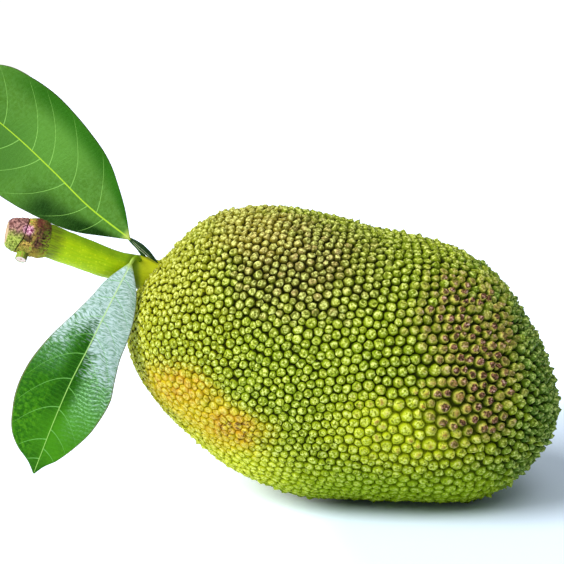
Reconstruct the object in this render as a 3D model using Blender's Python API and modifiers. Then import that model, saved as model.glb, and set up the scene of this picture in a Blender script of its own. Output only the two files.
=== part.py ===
"""Whole jackfruit lying on its side, with its stalk, the cut end of its branch, and three leaves.

Metres, +Z up. +X points to the blossom end, and the leaves hang on the -X, -Y side.
The origin is the middle of the flat spot that the fruit rests on.
"""

import math

import bmesh
import bpy
from mathutils import Vector

# Fruit: a closed body around FRUIT_CENTRE, smooth over the tips of the rind's tubercles.
FRUIT_CENTRE = Vector((-0.032, 0.0, 0.106))
FRUIT_HALF_DEPTH = 0.105
FRUIT_FULLNESS = 2.25  # 2 is an ellipse from front to back, more is fuller
FRUIT_SLANT = -0.10  # the blossom end lies a little nearer the viewer's side than the stalk end
FRUIT_SUBDIVISIONS = 5
# Distance from the centre to the side outline, every 15 degrees from +X up over the top.
OUTLINE_RADII = (
    0.151, 0.137, 0.128, 0.115, 0.103, 0.097,
    0.101, 0.111, 0.1265, 0.142, 0.1495, 0.161,
    0.160, 0.1445, 0.129, 0.121, 0.1135, 0.1105,
    0.1065, 0.110, 0.123, 0.147, 0.160, 0.164,
)
# Towards its front and back the body turns into a plain ellipsoid with a sloping long axis.
LONG_HALF, SHORT_HALF = 0.163, 0.106
LONG_AXIS_SLOPE = math.radians(-17)
# Low swellings and hollows of the flanks: direction, height as a share of the radius, spread.
LOBES = (
    (Vector((0.50, -0.86, -0.08)), 0.030, 0.10),
    (Vector((-0.45, -0.86, 0.22)), 0.020, 0.12),
    (Vector((0.02, -0.98, 0.20)), -0.012, 0.08),
    (Vector((0.30, 0.90, 0.25)), 0.028, 0.12),
    (Vector((-0.50, 0.85, -0.15)), 0.022, 0.12),
)

# Stalk: its centre line from inside the branch collar to inside the fruit, with its radii.
STALK_PATH = (
    Vector((-0.2510, -0.0255, 0.1960)),
    Vector((-0.2318, -0.0160, 0.1871)),
    Vector((-0.2111, -0.0060, 0.1770)),
    Vector((-0.1969, 0.0020, 0.1710)),
    Vector((-0.1824, 0.0080, 0.1660)),
    Vector((-0.1642, 0.0120, 0.1575)),
)
STALK_RADII = (0.0124, 0.0118, 0.0111, 0.0110, 0.0126, 0.0142)
STALK_RINGS = 26

# Branch collar: a turned body along an axis from the stalk to the cut face.
COLLAR_START = Vector((-0.2450, -0.0235, 0.1940))
COLLAR_END = Vector((-0.2740, -0.0315, 0.2010))
# Position along the axis and radius; the step near the end is the crack behind the cut face.
COLLAR_PROFILE = (
    (0.0000, 0.0131), (0.0030, 0.0141), (0.0085, 0.0145), (0.0140, 0.0137),
    (0.0172, 0.0129), (0.0184, 0.0120), (0.0198, 0.0127), (0.0240, 0.0122),
    (0.0280, 0.0110), (0.0300, 0.0092),
)
COLLAR_STEPS = 28
COLLAR_FACE_CROWN = 0.0008  # how far the middle of the cut face stands proud of its rim
COLLAR_FACE_RING = 0.8  # where the face has half of that, as a share of the rim's radius

# Side stub: a short cut twig under the collar, from inside the collar to its cut end.
STUB_START = Vector((-0.2625, -0.0300, 0.1920))
STUB_END = Vector((-0.2646, -0.0378, 0.1822))
STUB_RADII = (0.0043, 0.0040)
STUB_SIDES = 16

# Leaves: the midrib from base to tip, and the half widths of the two sides at even steps.
LEAF_THICKNESS = 0.0012
LEAF_STEM_RADIUS = 0.0018
LEAF_STEM_RINGS, LEAF_STEM_ROUNDNESS = 12, 3
LEAF_ROWS, LEAF_COLUMNS = 22, 10
UPPER_LEAF = {
    "midrib": (
        Vector((-0.1918, 0.0130, 0.1914)),
        Vector((-0.2219, 0.0200, 0.2140)),
        Vector((-0.2490, 0.0270, 0.2400)),
        Vector((-0.2770, 0.0315, 0.2660)),
        Vector((-0.3060, 0.0310, 0.2900)),
        Vector((-0.3370, 0.0260, 0.3120)),
    ),
    "facing": Vector((0.10, -1.0, 0.18)),
    "left": (1.6, 18.5, 30, 37, 40.8, 43.2, 44.4, 42.4, 37.5, 22, 0.8),
    "right": (1.6, 12, 23, 31.5, 37.5, 41.5, 42.5, 41, 34, 20, 0.8),
    "droop": 0.006,
    "stem": (
        Vector((-0.1950, 0.0137, 0.1937)),
        Vector((-0.1890, 0.0122, 0.1885)),
        Vector((-0.1832, 0.0100, 0.1825)),
        Vector((-0.1770, 0.0060, 0.1730)),
    ),
}
LOWER_LEAF = {
    "midrib": (
        Vector((-0.1880, -0.0150, 0.1755)),
        Vector((-0.2020, -0.0310, 0.1480)),
        Vector((-0.2150, -0.0470, 0.1215)),
        Vector((-0.2275, -0.0600, 0.0970)),
        Vector((-0.2395, -0.0690, 0.0690)),
        Vector((-0.2530, -0.0760, 0.0345)),
    ),
    "facing": Vector((0.15, -0.85, 0.50)),
    "left": (1.6, 10.6, 15.2, 21.5, 27.5, 31.3, 34, 34.5, 31.5, 23.5, 0.8),
    "right": (1.6, 13.5, 20, 23, 24.2, 27.8, 31.3, 30.1, 25.8, 16, 0.8),
    "droop": 0.005,
    "stem": (
        Vector((-0.1895, -0.0160, 0.1730)),
        Vector((-0.1860, -0.0135, 0.1775)),
        Vector((-0.1835, -0.0080, 0.1810)),
        Vector((-0.1820, 0.0000, 0.1765)),
    ),
}

# Young leaf: a small folded blade, pointed at both ends, from the stalk's foot to its tip.
YOUNG_BASE = Vector((-0.1690, 0.0020, 0.1740))
YOUNG_TIP = Vector((-0.1908, 0.0060, 0.1930))
YOUNG_WIDTH = 0.0076
YOUNG_THICKNESS = 0.0034
YOUNG_POINTING = 0.35  # how much slimmer than an ellipse its two ends are
YOUNG_BOW = 0.0010  # how far its middle bends to one side
YOUNG_SIDES, YOUNG_RINGS = 12, 14

GAP = 0.0003  # between two pieces that touch
MERGE_DISTANCE = 1e-5
FLOOR_CUTTER_HALF = 0.3

COLOURS = {
    "fruit": (0.42, 0.52, 0.07),
    "stalk": (0.38, 0.58, 0.05),
    "branch_collar": (0.40, 0.22, 0.12),
    "side_stub": (0.30, 0.48, 0.12),
    "upper_leaf": (0.07, 0.24, 0.05),
    "lower_leaf": (0.05, 0.22, 0.05),
    "young_leaf": (0.02, 0.08, 0.02),
}
ROUGHNESS = {"fruit": 0.55, "stalk": 0.45, "branch_collar": 0.8, "side_stub": 0.6}
LEAF_ROUGHNESS = 0.3


def clear_scene():
    for obj in list(bpy.data.objects):
        bpy.data.objects.remove(obj, do_unlink=True)


def new_collection(name):
    collection = bpy.data.collections.new(name)
    bpy.context.scene.collection.children.link(collection)
    return collection


def material_for(name):
    material = bpy.data.materials.new(name)
    material.use_nodes = True
    shader = material.node_tree.nodes["Principled BSDF"]
    shader.inputs["Base Color"].default_value = (*COLOURS[name], 1.0)
    shader.inputs["Roughness"].default_value = ROUGHNESS.get(name, LEAF_ROUGHNESS)
    shader.inputs["Metallic"].default_value = 0.0
    return material


def between(a, b, c, d, t):
    """Catmull-Rom value between b and c."""
    return 0.5 * (
        2 * b
        + (c - a) * t
        + (2 * a - 5 * b + 4 * c - d) * t * t
        + (3 * b - a - 3 * c + d) * t * t * t
    )


def along(values, t):
    """Smooth value at t from 0 to 1 through evenly spaced values."""
    last = len(values) - 1
    place = min(max(t, 0.0), 1.0) * last
    i = min(int(place), last - 1)
    before = values[i - 1] if i > 0 else 2 * values[0] - values[1]
    after = values[i + 2] if i + 2 <= last else 2 * values[last] - values[last - 1]
    return between(before, values[i], values[i + 1], after, place - i)


def outline_radius(angle):
    """Radius of the side outline at an angle, through OUTLINE_RADII as a closed curve."""
    count = len(OUTLINE_RADII)
    place = (angle / (2 * math.pi) % 1.0) * count
    i = int(place) % count
    ring = [OUTLINE_RADII[(i + step) % count] for step in (-1, 0, 1, 2)]
    return between(*ring, place - int(place))


def ellipse_radius(angle):
    turned = angle - LONG_AXIS_SLOPE
    return 1 / math.hypot(math.cos(turned) / LONG_HALF, math.sin(turned) / SHORT_HALF)


def fruit_point(direction, outwards=0.0):
    """Point of the fruit's surface in a direction from its centre."""
    side = math.hypot(direction.x, direction.z)
    angle = math.atan2(direction.z, direction.x)
    flank = direction.y**2
    radius = (1 - flank) * outline_radius(angle) + flank * ellipse_radius(angle)
    scale = (side**FRUIT_FULLNESS + abs(direction.y) ** FRUIT_FULLNESS) ** (-1 / FRUIT_FULLNESS)
    for axis, height, spread in LOBES:
        scale *= 1 + height * math.exp((direction.dot(axis.normalized()) - 1) / spread)
    x, z = scale * radius * direction.x, scale * radius * direction.z
    offset = Vector((x, scale * FRUIT_HALF_DEPTH * direction.y + FRUIT_SLANT * x, z))
    return FRUIT_CENTRE + offset * (1 + outwards / offset.length)


def leaf_surface(leaf, t, side):
    """Point of a leaf blade: t runs from base to tip, side from -1 (left) to 1 (right)."""
    step = 0.01
    middle = along(leaf["midrib"], t)
    forwards = (along(leaf["midrib"], t + step) - along(leaf["midrib"], t - step)).normalized()
    across = leaf["facing"].cross(forwards).normalized()
    normal = forwards.cross(across)
    widths = leaf["right"] if side > 0 else leaf["left"]
    half = along(widths, t) / 1000
    widest = max(widths) / 1000
    return middle + across * (half * side) - normal * (leaf["droop"] * side * side * half / widest)


def object_from(bm, name, collection):
    mesh = bpy.data.meshes.new(name)
    bm.to_mesh(mesh)
    bm.free()
    obj = bpy.data.objects.new(name, mesh)
    collection.objects.link(obj)
    return obj


def finish_part(obj, smooth_angle=math.radians(40)):
    obj.data.materials.clear()
    obj.data.materials.append(material_for(obj.name))
    obj.data.shade_smooth()
    obj.data.set_sharp_from_angle(angle=smooth_angle)


def make_cutter(obj):
    obj.hide_render = True
    obj.display_type = "WIRE"
    return obj


def boolean(obj, other, operation):
    modifier = obj.modifiers.new(f"{operation.lower()} {other.name}", "BOOLEAN")
    modifier.operation = operation
    modifier.solver = "EXACT"
    modifier.object = other


def fruit_body(name, collection, outwards=0.0):
    bm = bmesh.new()
    bmesh.ops.create_icosphere(bm, subdivisions=FRUIT_SUBDIVISIONS, radius=1.0)
    for vertex in bm.verts:
        vertex.co = fruit_point(vertex.co.normalized(), outwards)
    return object_from(bm, name, collection)


def tube(name, collection, path, radii, rings, roundness=8):
    """Round tube with closed ends along a smooth path, with smoothly changing radii."""
    curve = bpy.data.curves.new(name, "CURVE")
    curve.dimensions = "3D"
    curve.bevel_depth = 1.0
    curve.bevel_resolution = roundness
    curve.use_fill_caps = True
    spline = curve.splines.new("POLY")
    spline.points.add(rings - 1)
    for i, point in enumerate(spline.points):
        t = i / (rings - 1)
        point.co = (*along(path, t), 1.0)
        point.radius = along(radii, t)
    drawn = bpy.data.objects.new(name + " line", curve)
    collection.objects.link(drawn)
    graph = bpy.context.evaluated_depsgraph_get()
    mesh = bpy.data.meshes.new_from_object(drawn.evaluated_get(graph))
    bpy.data.objects.remove(drawn, do_unlink=True)
    bm = bmesh.new()
    bm.from_mesh(mesh)
    bpy.data.meshes.remove(mesh)
    bmesh.ops.remove_doubles(bm, verts=bm.verts, dist=MERGE_DISTANCE)
    bmesh.ops.recalc_face_normals(bm, faces=bm.faces)
    return object_from(bm, name, collection)


def turned_collar(name, collection, outwards=0.0):
    """Turned body along the collar's axis: a profile with a Screw modifier, laid on the axis."""
    first, last = COLLAR_PROFILE[0], COLLAR_PROFILE[-1]
    outline = [(first[0] - outwards, 0.0), (first[0] - outwards, first[1] + outwards)]
    outline += [(along_axis, radius + outwards) for along_axis, radius in COLLAR_PROFILE[1:]]
    face = last[0] + outwards
    outline.append((face + COLLAR_FACE_CROWN / 2, last[1] * COLLAR_FACE_RING))
    outline.append((face + COLLAR_FACE_CROWN, 0.0))
    bm = bmesh.new()
    # The profile runs down its outer side, so the cut face is at the bottom, along -Z.
    verts = [bm.verts.new((radius, 0.0, -along_axis)) for along_axis, radius in outline]
    for a, b in zip(verts, verts[1:]):
        bm.edges.new((a, b))
    obj = object_from(bm, name, collection)
    screw = obj.modifiers.new("turn", "SCREW")
    screw.axis = "Z"
    screw.angle = 2 * math.pi
    screw.steps = screw.render_steps = COLLAR_STEPS
    screw.use_merge_vertices = True
    screw.merge_threshold = MERGE_DISTANCE
    obj.location = COLLAR_START
    axis = (COLLAR_END - COLLAR_START).normalized()
    obj.rotation_mode = "QUATERNION"
    obj.rotation_quaternion = axis.to_track_quat("-Z", "Y")
    return obj


def stub_body(name, collection, outwards=0.0):
    bm = bmesh.new()
    axis = STUB_END - STUB_START
    bmesh.ops.create_cone(
        bm,
        cap_ends=True,
        segments=STUB_SIDES,
        radius1=STUB_RADII[0] + outwards,
        radius2=STUB_RADII[1] + outwards,
        depth=axis.length,
    )
    obj = object_from(bm, name, collection)
    obj.location = (STUB_START + STUB_END) / 2
    obj.rotation_mode = "QUATERNION"
    obj.rotation_quaternion = axis.to_track_quat("Z", "Y")
    return obj


def leaf_body(name, collection, helpers, leaf):
    bm = bmesh.new()
    bmesh.ops.create_grid(bm, x_segments=LEAF_ROWS, y_segments=LEAF_COLUMNS, size=1.0)
    for vertex in bm.verts:
        vertex.co = leaf_surface(leaf, (vertex.co.x + 1) / 2, vertex.co.y)
    obj = object_from(bm, name, collection)
    solid = obj.modifiers.new("thickness", "SOLIDIFY")
    solid.thickness = LEAF_THICKNESS
    solid.offset = 0.0
    radii = (LEAF_STEM_RADIUS,) * 2
    stem = tube(
        name + "_stem", helpers, leaf["stem"], radii, LEAF_STEM_RINGS, LEAF_STEM_ROUNDNESS
    )
    boolean(obj, make_cutter(stem), "UNION")
    return obj


def young_leaf_body(name, collection):
    """Folded blade: a flattened ball with pointed ends, laid from its base to its tip."""
    bm = bmesh.new()
    bmesh.ops.create_uvsphere(bm, u_segments=YOUNG_SIDES, v_segments=YOUNG_RINGS, radius=1.0)
    axis = YOUNG_TIP - YOUNG_BASE
    lengthwise = axis.normalized()
    across = lengthwise.cross(Vector((0.0, 1.0, 0.0))).normalized()
    through = lengthwise.cross(across)
    for vertex in bm.verts:
        x, y, z = vertex.co
        slim = 1 - YOUNG_POINTING * z * z
        sideways = x * slim * YOUNG_WIDTH / 2 + YOUNG_BOW * (1 - z * z)
        vertex.co = (
            (YOUNG_BASE + YOUNG_TIP) / 2
            + lengthwise * (z * axis.length / 2)
            + across * sideways
            + through * (y * slim * YOUNG_THICKNESS / 2)
        )
    bmesh.ops.recalc_face_normals(bm, faces=bm.faces)
    return object_from(bm, name, collection)


def floor_cutter(collection):
    bm = bmesh.new()
    bmesh.ops.create_cube(bm, size=2 * FLOOR_CUTTER_HALF)
    obj = object_from(bm, "floor_cutter", collection)
    obj.location = (0.0, 0.0, -FLOOR_CUTTER_HALF)
    return make_cutter(obj)


def build():
    clear_scene()
    parts = new_collection("jackfruit")
    cutters = new_collection("cutters")

    wide_fruit = make_cutter(fruit_body("fruit_clearance", cutters, GAP))
    wide_radii = tuple(radius + GAP for radius in STALK_RADII)
    wide_stalk = make_cutter(tube("stalk_clearance", cutters, STALK_PATH, wide_radii, STALK_RINGS))
    wide_collar = make_cutter(turned_collar("collar_clearance", cutters, GAP))

    fruit = fruit_body("fruit", parts)
    boolean(fruit, floor_cutter(cutters), "DIFFERENCE")

    stalk = tube("stalk", parts, STALK_PATH, STALK_RADII, STALK_RINGS)
    boolean(stalk, wide_fruit, "DIFFERENCE")
    boolean(stalk, wide_collar, "DIFFERENCE")

    collar = turned_collar("branch_collar", parts)

    stub = stub_body("side_stub", parts)
    boolean(stub, wide_collar, "DIFFERENCE")

    upper_leaf = leaf_body("upper_leaf", parts, cutters, UPPER_LEAF)
    lower_leaf = leaf_body("lower_leaf", parts, cutters, LOWER_LEAF)
    young_leaf = young_leaf_body("young_leaf", parts)
    for leaf in (upper_leaf, lower_leaf, young_leaf):
        boolean(leaf, wide_stalk, "DIFFERENCE")
    boolean(upper_leaf, wide_fruit, "DIFFERENCE")
    boolean(young_leaf, wide_fruit, "DIFFERENCE")

    for obj in (fruit, stalk, collar, stub, upper_leaf, lower_leaf, young_leaf):
        finish_part(obj)


build()
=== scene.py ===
import math

import bmesh
import bpy
import numpy as np
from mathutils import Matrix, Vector, noise
from mathutils.kdtree import KDTree


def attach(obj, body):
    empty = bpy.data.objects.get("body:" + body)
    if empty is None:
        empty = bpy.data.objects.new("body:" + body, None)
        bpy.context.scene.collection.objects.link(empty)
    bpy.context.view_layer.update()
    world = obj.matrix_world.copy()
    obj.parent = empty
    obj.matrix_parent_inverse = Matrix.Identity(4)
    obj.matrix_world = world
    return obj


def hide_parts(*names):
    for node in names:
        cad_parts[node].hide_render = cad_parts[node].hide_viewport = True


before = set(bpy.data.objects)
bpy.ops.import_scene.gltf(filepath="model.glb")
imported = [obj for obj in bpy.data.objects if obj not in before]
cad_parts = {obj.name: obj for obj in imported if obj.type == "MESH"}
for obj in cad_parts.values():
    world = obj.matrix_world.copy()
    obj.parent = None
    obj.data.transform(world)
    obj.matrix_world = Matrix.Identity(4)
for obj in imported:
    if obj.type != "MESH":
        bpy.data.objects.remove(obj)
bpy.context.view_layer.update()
print("frame loaded with", ", ".join(sorted(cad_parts)))


# helpers for numbers and meshes

def smooth(low, high, value):
    share = np.clip((value - low) / (high - low), 0.0, 1.0)
    return share * share * (3 - 2 * share)


def lengths(vectors):
    return np.sqrt((vectors * vectors).sum(-1))


def units(vectors):
    return vectors / lengths(vectors)[..., None]


def travelled(line):
    # how far each point of a line is from its start
    return np.concatenate([[0], np.cumsum(lengths(np.diff(line, axis=0)))])


def between(a, b, c, d, t):
    # Catmull-Rom from b to c
    return 0.5 * (
        2 * b + (c - a) * t + (2 * a - 5 * b + 4 * c - d) * t * t + (3 * b - a - 3 * c + d) * t * t * t
    )


def along(values, t):
    # smooth values at shares t, from 0 to 1, through evenly spaced ones
    values = np.array(values, float)
    last = len(values) - 1
    padded = np.concatenate([2 * values[:1] - values[1:2], values, 2 * values[-1:] - values[-2:-1]])
    place = np.clip(np.asarray(t, float), 0.0, 1.0) * last
    i = np.minimum(place.astype(int), last - 1)
    share = place - i
    if values.ndim > 1:
        share = share[..., None]
    return between(padded[i], padded[i + 1], padded[i + 2], padded[i + 3], share)


def lumps(points, size, octaves=3):
    # smooth random heights from -1 to 1 at an array of points
    flat = points.reshape(-1, 3) / size
    found = np.fromiter((noise.fractal(p, 0.9, 2.0, octaves) for p in flat.tolist()), float, len(flat))
    return found.reshape(points.shape[:-1])


def newObject(name, data):
    obj = bpy.data.objects.new(name, data)
    bpy.context.scene.collection.objects.link(obj)
    return obj


def meshObject(name, points, faces):
    mesh = bpy.data.meshes.new(name)
    mesh.from_pydata([tuple(p) for p in points], [], [tuple(f) for f in faces])
    mesh.update()
    return newObject(name, mesh)


def setAttribute(mesh, name, values, kind="FLOAT", domain="POINT"):
    attribute = mesh.attributes.get(name) or mesh.attributes.new(name, kind, domain)
    field = "vector" if kind == "FLOAT_VECTOR" else "value"
    attribute.data.foreach_set(field, np.asarray(values, np.float32).ravel())


def bulk(items, field, kind=np.float32, width=1):
    # one field of all items as an array
    values = np.empty(len(items) * width, kind)
    items.foreach_get(field, values)
    return values.reshape(-1, width) if width > 1 else values


def getAttribute(mesh, name, kind=np.float32):
    return bulk(mesh.attributes[name].data, "value", kind)


def addBakeMap(mesh, uv):
    layer = mesh.uv_layers.new(name="OFBake")
    layer.data.foreach_set("uv", uv.astype(np.float32).ravel())


def finishPiece(obj, node, material=None):
    if material:
        obj.data.materials.clear()
        obj.data.materials.append(material)
    obj.data.shade_smooth()
    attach(obj, "root")
    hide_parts(node)
    print(obj.name, "of", sum(len(face.vertices) - 2 for face in obj.data.polygons), "triangles")


# helpers for node trees: a socket knows the tree that it is in

def plug(socket, value):
    # a link from another socket, or a plain value
    if isinstance(value, bpy.types.NodeSocket):
        socket.id_data.links.new(value, socket)
    elif isinstance(value, tuple) and len(socket.default_value) == 4:
        socket.default_value = (*value, 1.0)
    else:
        socket.default_value = value


def addNode(tree, kind, inputs=None, **settings):
    made = tree.nodes.new(kind)
    for key, value in settings.items():
        setattr(made, key, value)
    for key, value in (inputs or {}).items():
        plug(made.inputs[key], value)
    return made


def join(kind, inputs, **settings):
    # a node in the same tree as the sockets among its inputs
    tree = next(value.id_data for value in inputs.values() if isinstance(value, bpy.types.NodeSocket))
    return addNode(tree, kind, inputs, **settings)


def calc(operation, *values):
    return join("ShaderNodeMath", dict(enumerate(values)), operation=operation).outputs[0]


def times(*values):
    found = values[0]
    for value in values[1:]:
        found = calc("MULTIPLY", found, value)
    return found


def mapped(value, low, high, toLow=0.0, toHigh=1.0, kind="SMOOTHSTEP"):
    inputs = {"Value": value, "From Min": low, "From Max": high, "To Min": toLow, "To Max": toHigh}
    return join("ShaderNodeMapRange", inputs, interpolation_type=kind).outputs["Result"]


def mixed(share, a, b):
    return join("ShaderNodeMix", {0: share, 2: a, 3: b}, data_type="FLOAT").outputs[0]


def blended(share, a, b):
    return join("ShaderNodeMix", {0: share, 6: a, 7: b}, data_type="RGBA").outputs[2]


def layered(colour, *layers):
    # each layer is what it is held back by, and last its own colour
    for *shares, other in layers:
        colour = blended(times(*shares), colour, other)
    return colour


def lengthOf(vector):
    return join("ShaderNodeVectorMath", {0: vector}, operation="LENGTH").outputs["Value"]


def farFrom(place, centre, size):
    # the distance from a centre, counted in sizes
    offset = join("ShaderNodeVectorMath", {0: place, 1: centre}, operation="SUBTRACT").outputs[0]
    return lengthOf(join("ShaderNodeVectorMath", {0: offset, 1: size}, operation="DIVIDE").outputs[0])


def axisOf(place, axis):
    return join("ShaderNodeSeparateXYZ", {0: place}).outputs[axis]


def clouds(place, size, detail=3.0, roughness=0.55):
    # soft noise with lumps of about that size in metres, from 0 to 1
    inputs = {"Vector": place, "Scale": 1.0 / size, "Detail": detail, "Roughness": roughness}
    return join("ShaderNodeTexNoise", inputs).outputs["Fac"]


def yearRings(grain, scale, distortion):
    inputs = {"Vector": grain, "Scale": scale, "Distortion": distortion, "Detail": 2.0}
    return join("ShaderNodeTexWave", inputs, wave_type="RINGS", rings_direction="Z").outputs["Fac"]


def read(tree, *names):
    # values that the mesh keeps for each of its points
    found = [addNode(tree, "ShaderNodeAttribute", attribute_name=name).outputs["Fac"] for name in names]
    return found if len(found) > 1 else found[0]


def readVector(tree, name):
    return addNode(tree, "ShaderNodeAttribute", attribute_name=name).outputs["Vector"]


def newMaterial(name, roughness, specular):
    material = bpy.data.materials.new(name)
    material.use_nodes = True
    tree = material.node_tree
    skin = tree.nodes["Principled BSDF"].inputs
    skin["Roughness"].default_value = roughness
    skin["Specular IOR Level"].default_value = specular
    return material, tree, skin, addNode(tree, "ShaderNodeTexCoord").outputs["Object"]


def finishSkin(skin, colour, height, distance, strength=1.0):
    plug(skin["Base Color"], colour)
    relief = {"Strength": strength, "Distance": distance, "Height": height}
    plug(skin["Normal"], join("ShaderNodeBump", relief).outputs[0])


def newGroup(name, inputs, outputs):
    tree = bpy.data.node_groups.new(name, "ShaderNodeTree")
    for key, value in inputs.items():
        kind = "NodeSocketVector" if isinstance(value, tuple) else "NodeSocketFloat"
        tree.interface.new_socket(key, in_out="INPUT", socket_type=kind).default_value = value
    for key in outputs:
        tree.interface.new_socket(key, in_out="OUTPUT", socket_type="NodeSocketFloat")
    return tree, tree.nodes.new("NodeGroupInput").outputs, tree.nodes.new("NodeGroupOutput").inputs


def useGroup(group, inputs):
    return join("ShaderNodeGroup", inputs, node_tree=group).outputs


def makePatchGroup():
    # a soft spot on the skin around a place, with a wavy edge
    origin = (0.0, 0.0, 0.0)
    given = {"Place": origin, "Centre": origin, "Size": (0.05, 0.05, 0.05)}
    given.update({"Softness": 0.5, "Wobble": 0.3, "Jitter": 0.0})
    tree, given, result = newGroup("patch", given, ["Mask"])
    far = farFrom(given["Place"], given["Centre"], given["Size"])
    wave = calc("SUBTRACT", clouds(given["Place"], 0.022), 0.5)
    far = calc("ADD", calc("MULTIPLY_ADD", wave, given["Wobble"], far), given["Jitter"])
    inner, outer = calc("SUBTRACT", 1.0, given["Softness"]), calc("ADD", 1.0, given["Softness"])
    plug(result["Mask"], mapped(far, inner, outer, 1.0, 0.0))
    return tree


def makeFibreGroup():
    # streaks that run along a stem
    given = {"Grain": (0.0, 0.0, 0.0), "Size": 0.001, "Stretch": 8.0, "Low": 0.35, "High": 0.65}
    tree, given, result = newGroup("fibres", given, ["Mask"])
    parts = addNode(tree, "ShaderNodeSeparateXYZ", {0: given["Grain"]}).outputs
    run = calc("DIVIDE", parts["Z"], given["Stretch"])
    joined = join("ShaderNodeCombineXYZ", {0: parts["X"], 1: parts["Y"], 2: run}).outputs[0]
    inputs = {"Vector": joined, "Scale": calc("DIVIDE", 1.0, given["Size"]), "Detail": 3.0}
    streaks = join("ShaderNodeTexNoise", inputs).outputs["Fac"]
    plug(result["Mask"], mapped(streaks, given["Low"], given["High"]))
    return tree


patchGroup = makePatchGroup()
fibreGroup = makeFibreGroup()


def patch(place, centre, size, softness=0.5, wobble=0.6, jitter=0.0):
    values = {"Place": place, "Centre": centre, "Size": size}
    values.update({"Softness": softness, "Wobble": wobble, "Jitter": jitter})
    return useGroup(patchGroup, values)["Mask"]


def fibres(grain, size, stretch, low=0.35, high=0.65):
    values = {"Grain": grain, "Size": size, "Stretch": stretch, "Low": low, "High": high}
    return useGroup(fibreGroup, values)["Mask"]


# camera, floor and light

studio = {
    "aim": (-0.0767, 0.0, 0.16),  # metres
    "distance": 1.1672,
    "elevation": 9.0,  # degrees above the floor
    "lens": 100.0,
    "floorSize": 24.0,
    "floorColour": (0.69, 0.8, 0.935),
    # painted light: the floor itself glows all around the fruit's own shadow, like a light table, washing out
    # other shadows there
    "floorGlow": (0.62, 0.63, 0.68),  # all around the fruit's own shadow, like a light table
    "shadowCentre": (0.125, -0.05, 0.0),
    "shadowSize": (0.172, 0.34, 1.0),
    "glow": (0.88, 1.42),  # where it starts and is full, in shadow sizes from that centre
    "sunFrom": (-0.64, -0.4, 0.68),
    "sunStrength": 3.85,
    "sunSpread": 42.0,  # degrees
    "skyColour": (0.9, 0.95, 1.0),
    "skyStrength": 0.33,
    "backdrop": 1.05,  # what the camera sees behind the floor
    "boxAim": (-0.12, 0.0, 0.12),
    "boxFrom": (0.28, -0.57, 0.76),
    "boxDistance": 1.6,
    "boxSize": 0.8,
    "boxPower": 9.0,
}


def addLamp(name, kind, position, target, energy):
    data = bpy.data.lights.new(name, kind)
    data.energy = energy
    lamp = newObject(name, data)
    lamp.location = position
    lamp.rotation_euler = (Vector(target) - Vector(position)).to_track_quat("-Z", "Y").to_euler()
    return data


def addCamera():
    tilt = math.radians(studio["elevation"])
    data = bpy.data.cameras.new("studioCamera")
    data.lens = studio["lens"]
    data.sensor_width = 36.0
    camera = newObject("studioCamera", data)
    away = Vector((0.0, -math.cos(tilt), math.sin(tilt)))
    camera.location = Vector(studio["aim"]) + away * studio["distance"]
    camera.rotation_euler = (math.pi / 2 - tilt, 0.0, 0.0)
    bpy.context.scene.camera = camera


def addFloor():
    half = studio["floorSize"] / 2
    corners = [(-half, -half, 0.0), (half, -half, 0.0), (half, half, 0.0), (-half, half, 0.0)]
    floor = meshObject("floor", corners, [(0, 1, 2, 3)])
    material, _, skin, place = newMaterial("paleFloor", 0.9, 0.0)
    plug(skin["Base Color"], studio["floorColour"])
    # painted light: the floor's own glow rises outside an ellipse around the fruit's shadow
    plug(skin["Emission Color"], studio["floorGlow"])
    far = farFrom(place, studio["shadowCentre"], studio["shadowSize"])
    plug(skin["Emission Strength"], mapped(far, *studio["glow"]))
    floor.data.materials.append(material)


def addSky():
    world = bpy.data.worlds.new("studioSky")
    bpy.context.scene.world = world
    world.use_nodes = True
    tree = world.node_tree
    sky = tree.nodes["Background"]
    plug(sky.inputs["Color"], studio["skyColour"])
    plug(sky.inputs["Strength"], studio["skyStrength"])
    white = addNode(tree, "ShaderNodeBackground", {"Color": (1.0, 1.0, 1.0), "Strength": studio["backdrop"]})
    seen = tree.nodes.new("ShaderNodeLightPath").outputs["Is Camera Ray"]
    both = addNode(tree, "ShaderNodeMixShader", {0: seen, 1: sky.outputs[0], 2: white.outputs[0]})
    plug(tree.nodes["World Output"].inputs["Surface"], both.outputs[0])


def addLights():
    sun = addLamp("keySun", "SUN", Vector(studio["sunFrom"]) * 2, (0, 0, 0), studio["sunStrength"])
    sun.angle = math.radians(studio["sunSpread"])
    place = Vector(studio["boxAim"]) + Vector(studio["boxFrom"]).normalized() * studio["boxDistance"]
    box = addLamp("softBox", "AREA", place, studio["boxAim"], studio["boxPower"])
    box.shape = "SQUARE"
    box.size = studio["boxSize"]


addCamera()
addFloor()
addSky()
addLights()
bpy.context.scene.view_settings.view_transform = "Standard"
print("studio ready")


# the fruit's smooth shape over the tips of its tubercles, as in the frame

fruit = {
    "centre": (-0.032, 0.0, 0.106),  # metres
    "halfDepth": 0.105,
    "fullness": 2.25,
    "slant": -0.1,
    "outline": (
        0.151, 0.137, 0.128, 0.115, 0.103, 0.097, 0.101, 0.111, 0.1265, 0.142, 0.1495, 0.161,
        0.16, 0.1445, 0.129, 0.121, 0.1135, 0.1105, 0.1065, 0.11, 0.123, 0.147, 0.16, 0.164,
    ),  # every 15 degrees from +X over the top
    "longHalf": 0.163,
    "shortHalf": 0.106,
    "slope": -17.0,  # of the long axis, in degrees
    "lobes": (  # direction, height, spread
        ((0.5, -0.86, -0.08), 0.03, 0.1),
        ((-0.45, -0.86, 0.22), 0.02, 0.12),
        ((0.02, -0.98, 0.2), -0.012, 0.08),
        ((0.3, 0.9, 0.25), 0.028, 0.12),
        ((-0.5, 0.85, -0.15), 0.022, 0.12),
    ),
}
fruitCentre = np.array(fruit["centre"])
slope = math.radians(fruit["slope"])
longAxis = np.array([math.cos(slope), 0.0, math.sin(slope)])
upAxis = np.array([-longAxis[2], 0.0, longAxis[0]])
sideAxis = np.cross(longAxis, upAxis)


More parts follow.
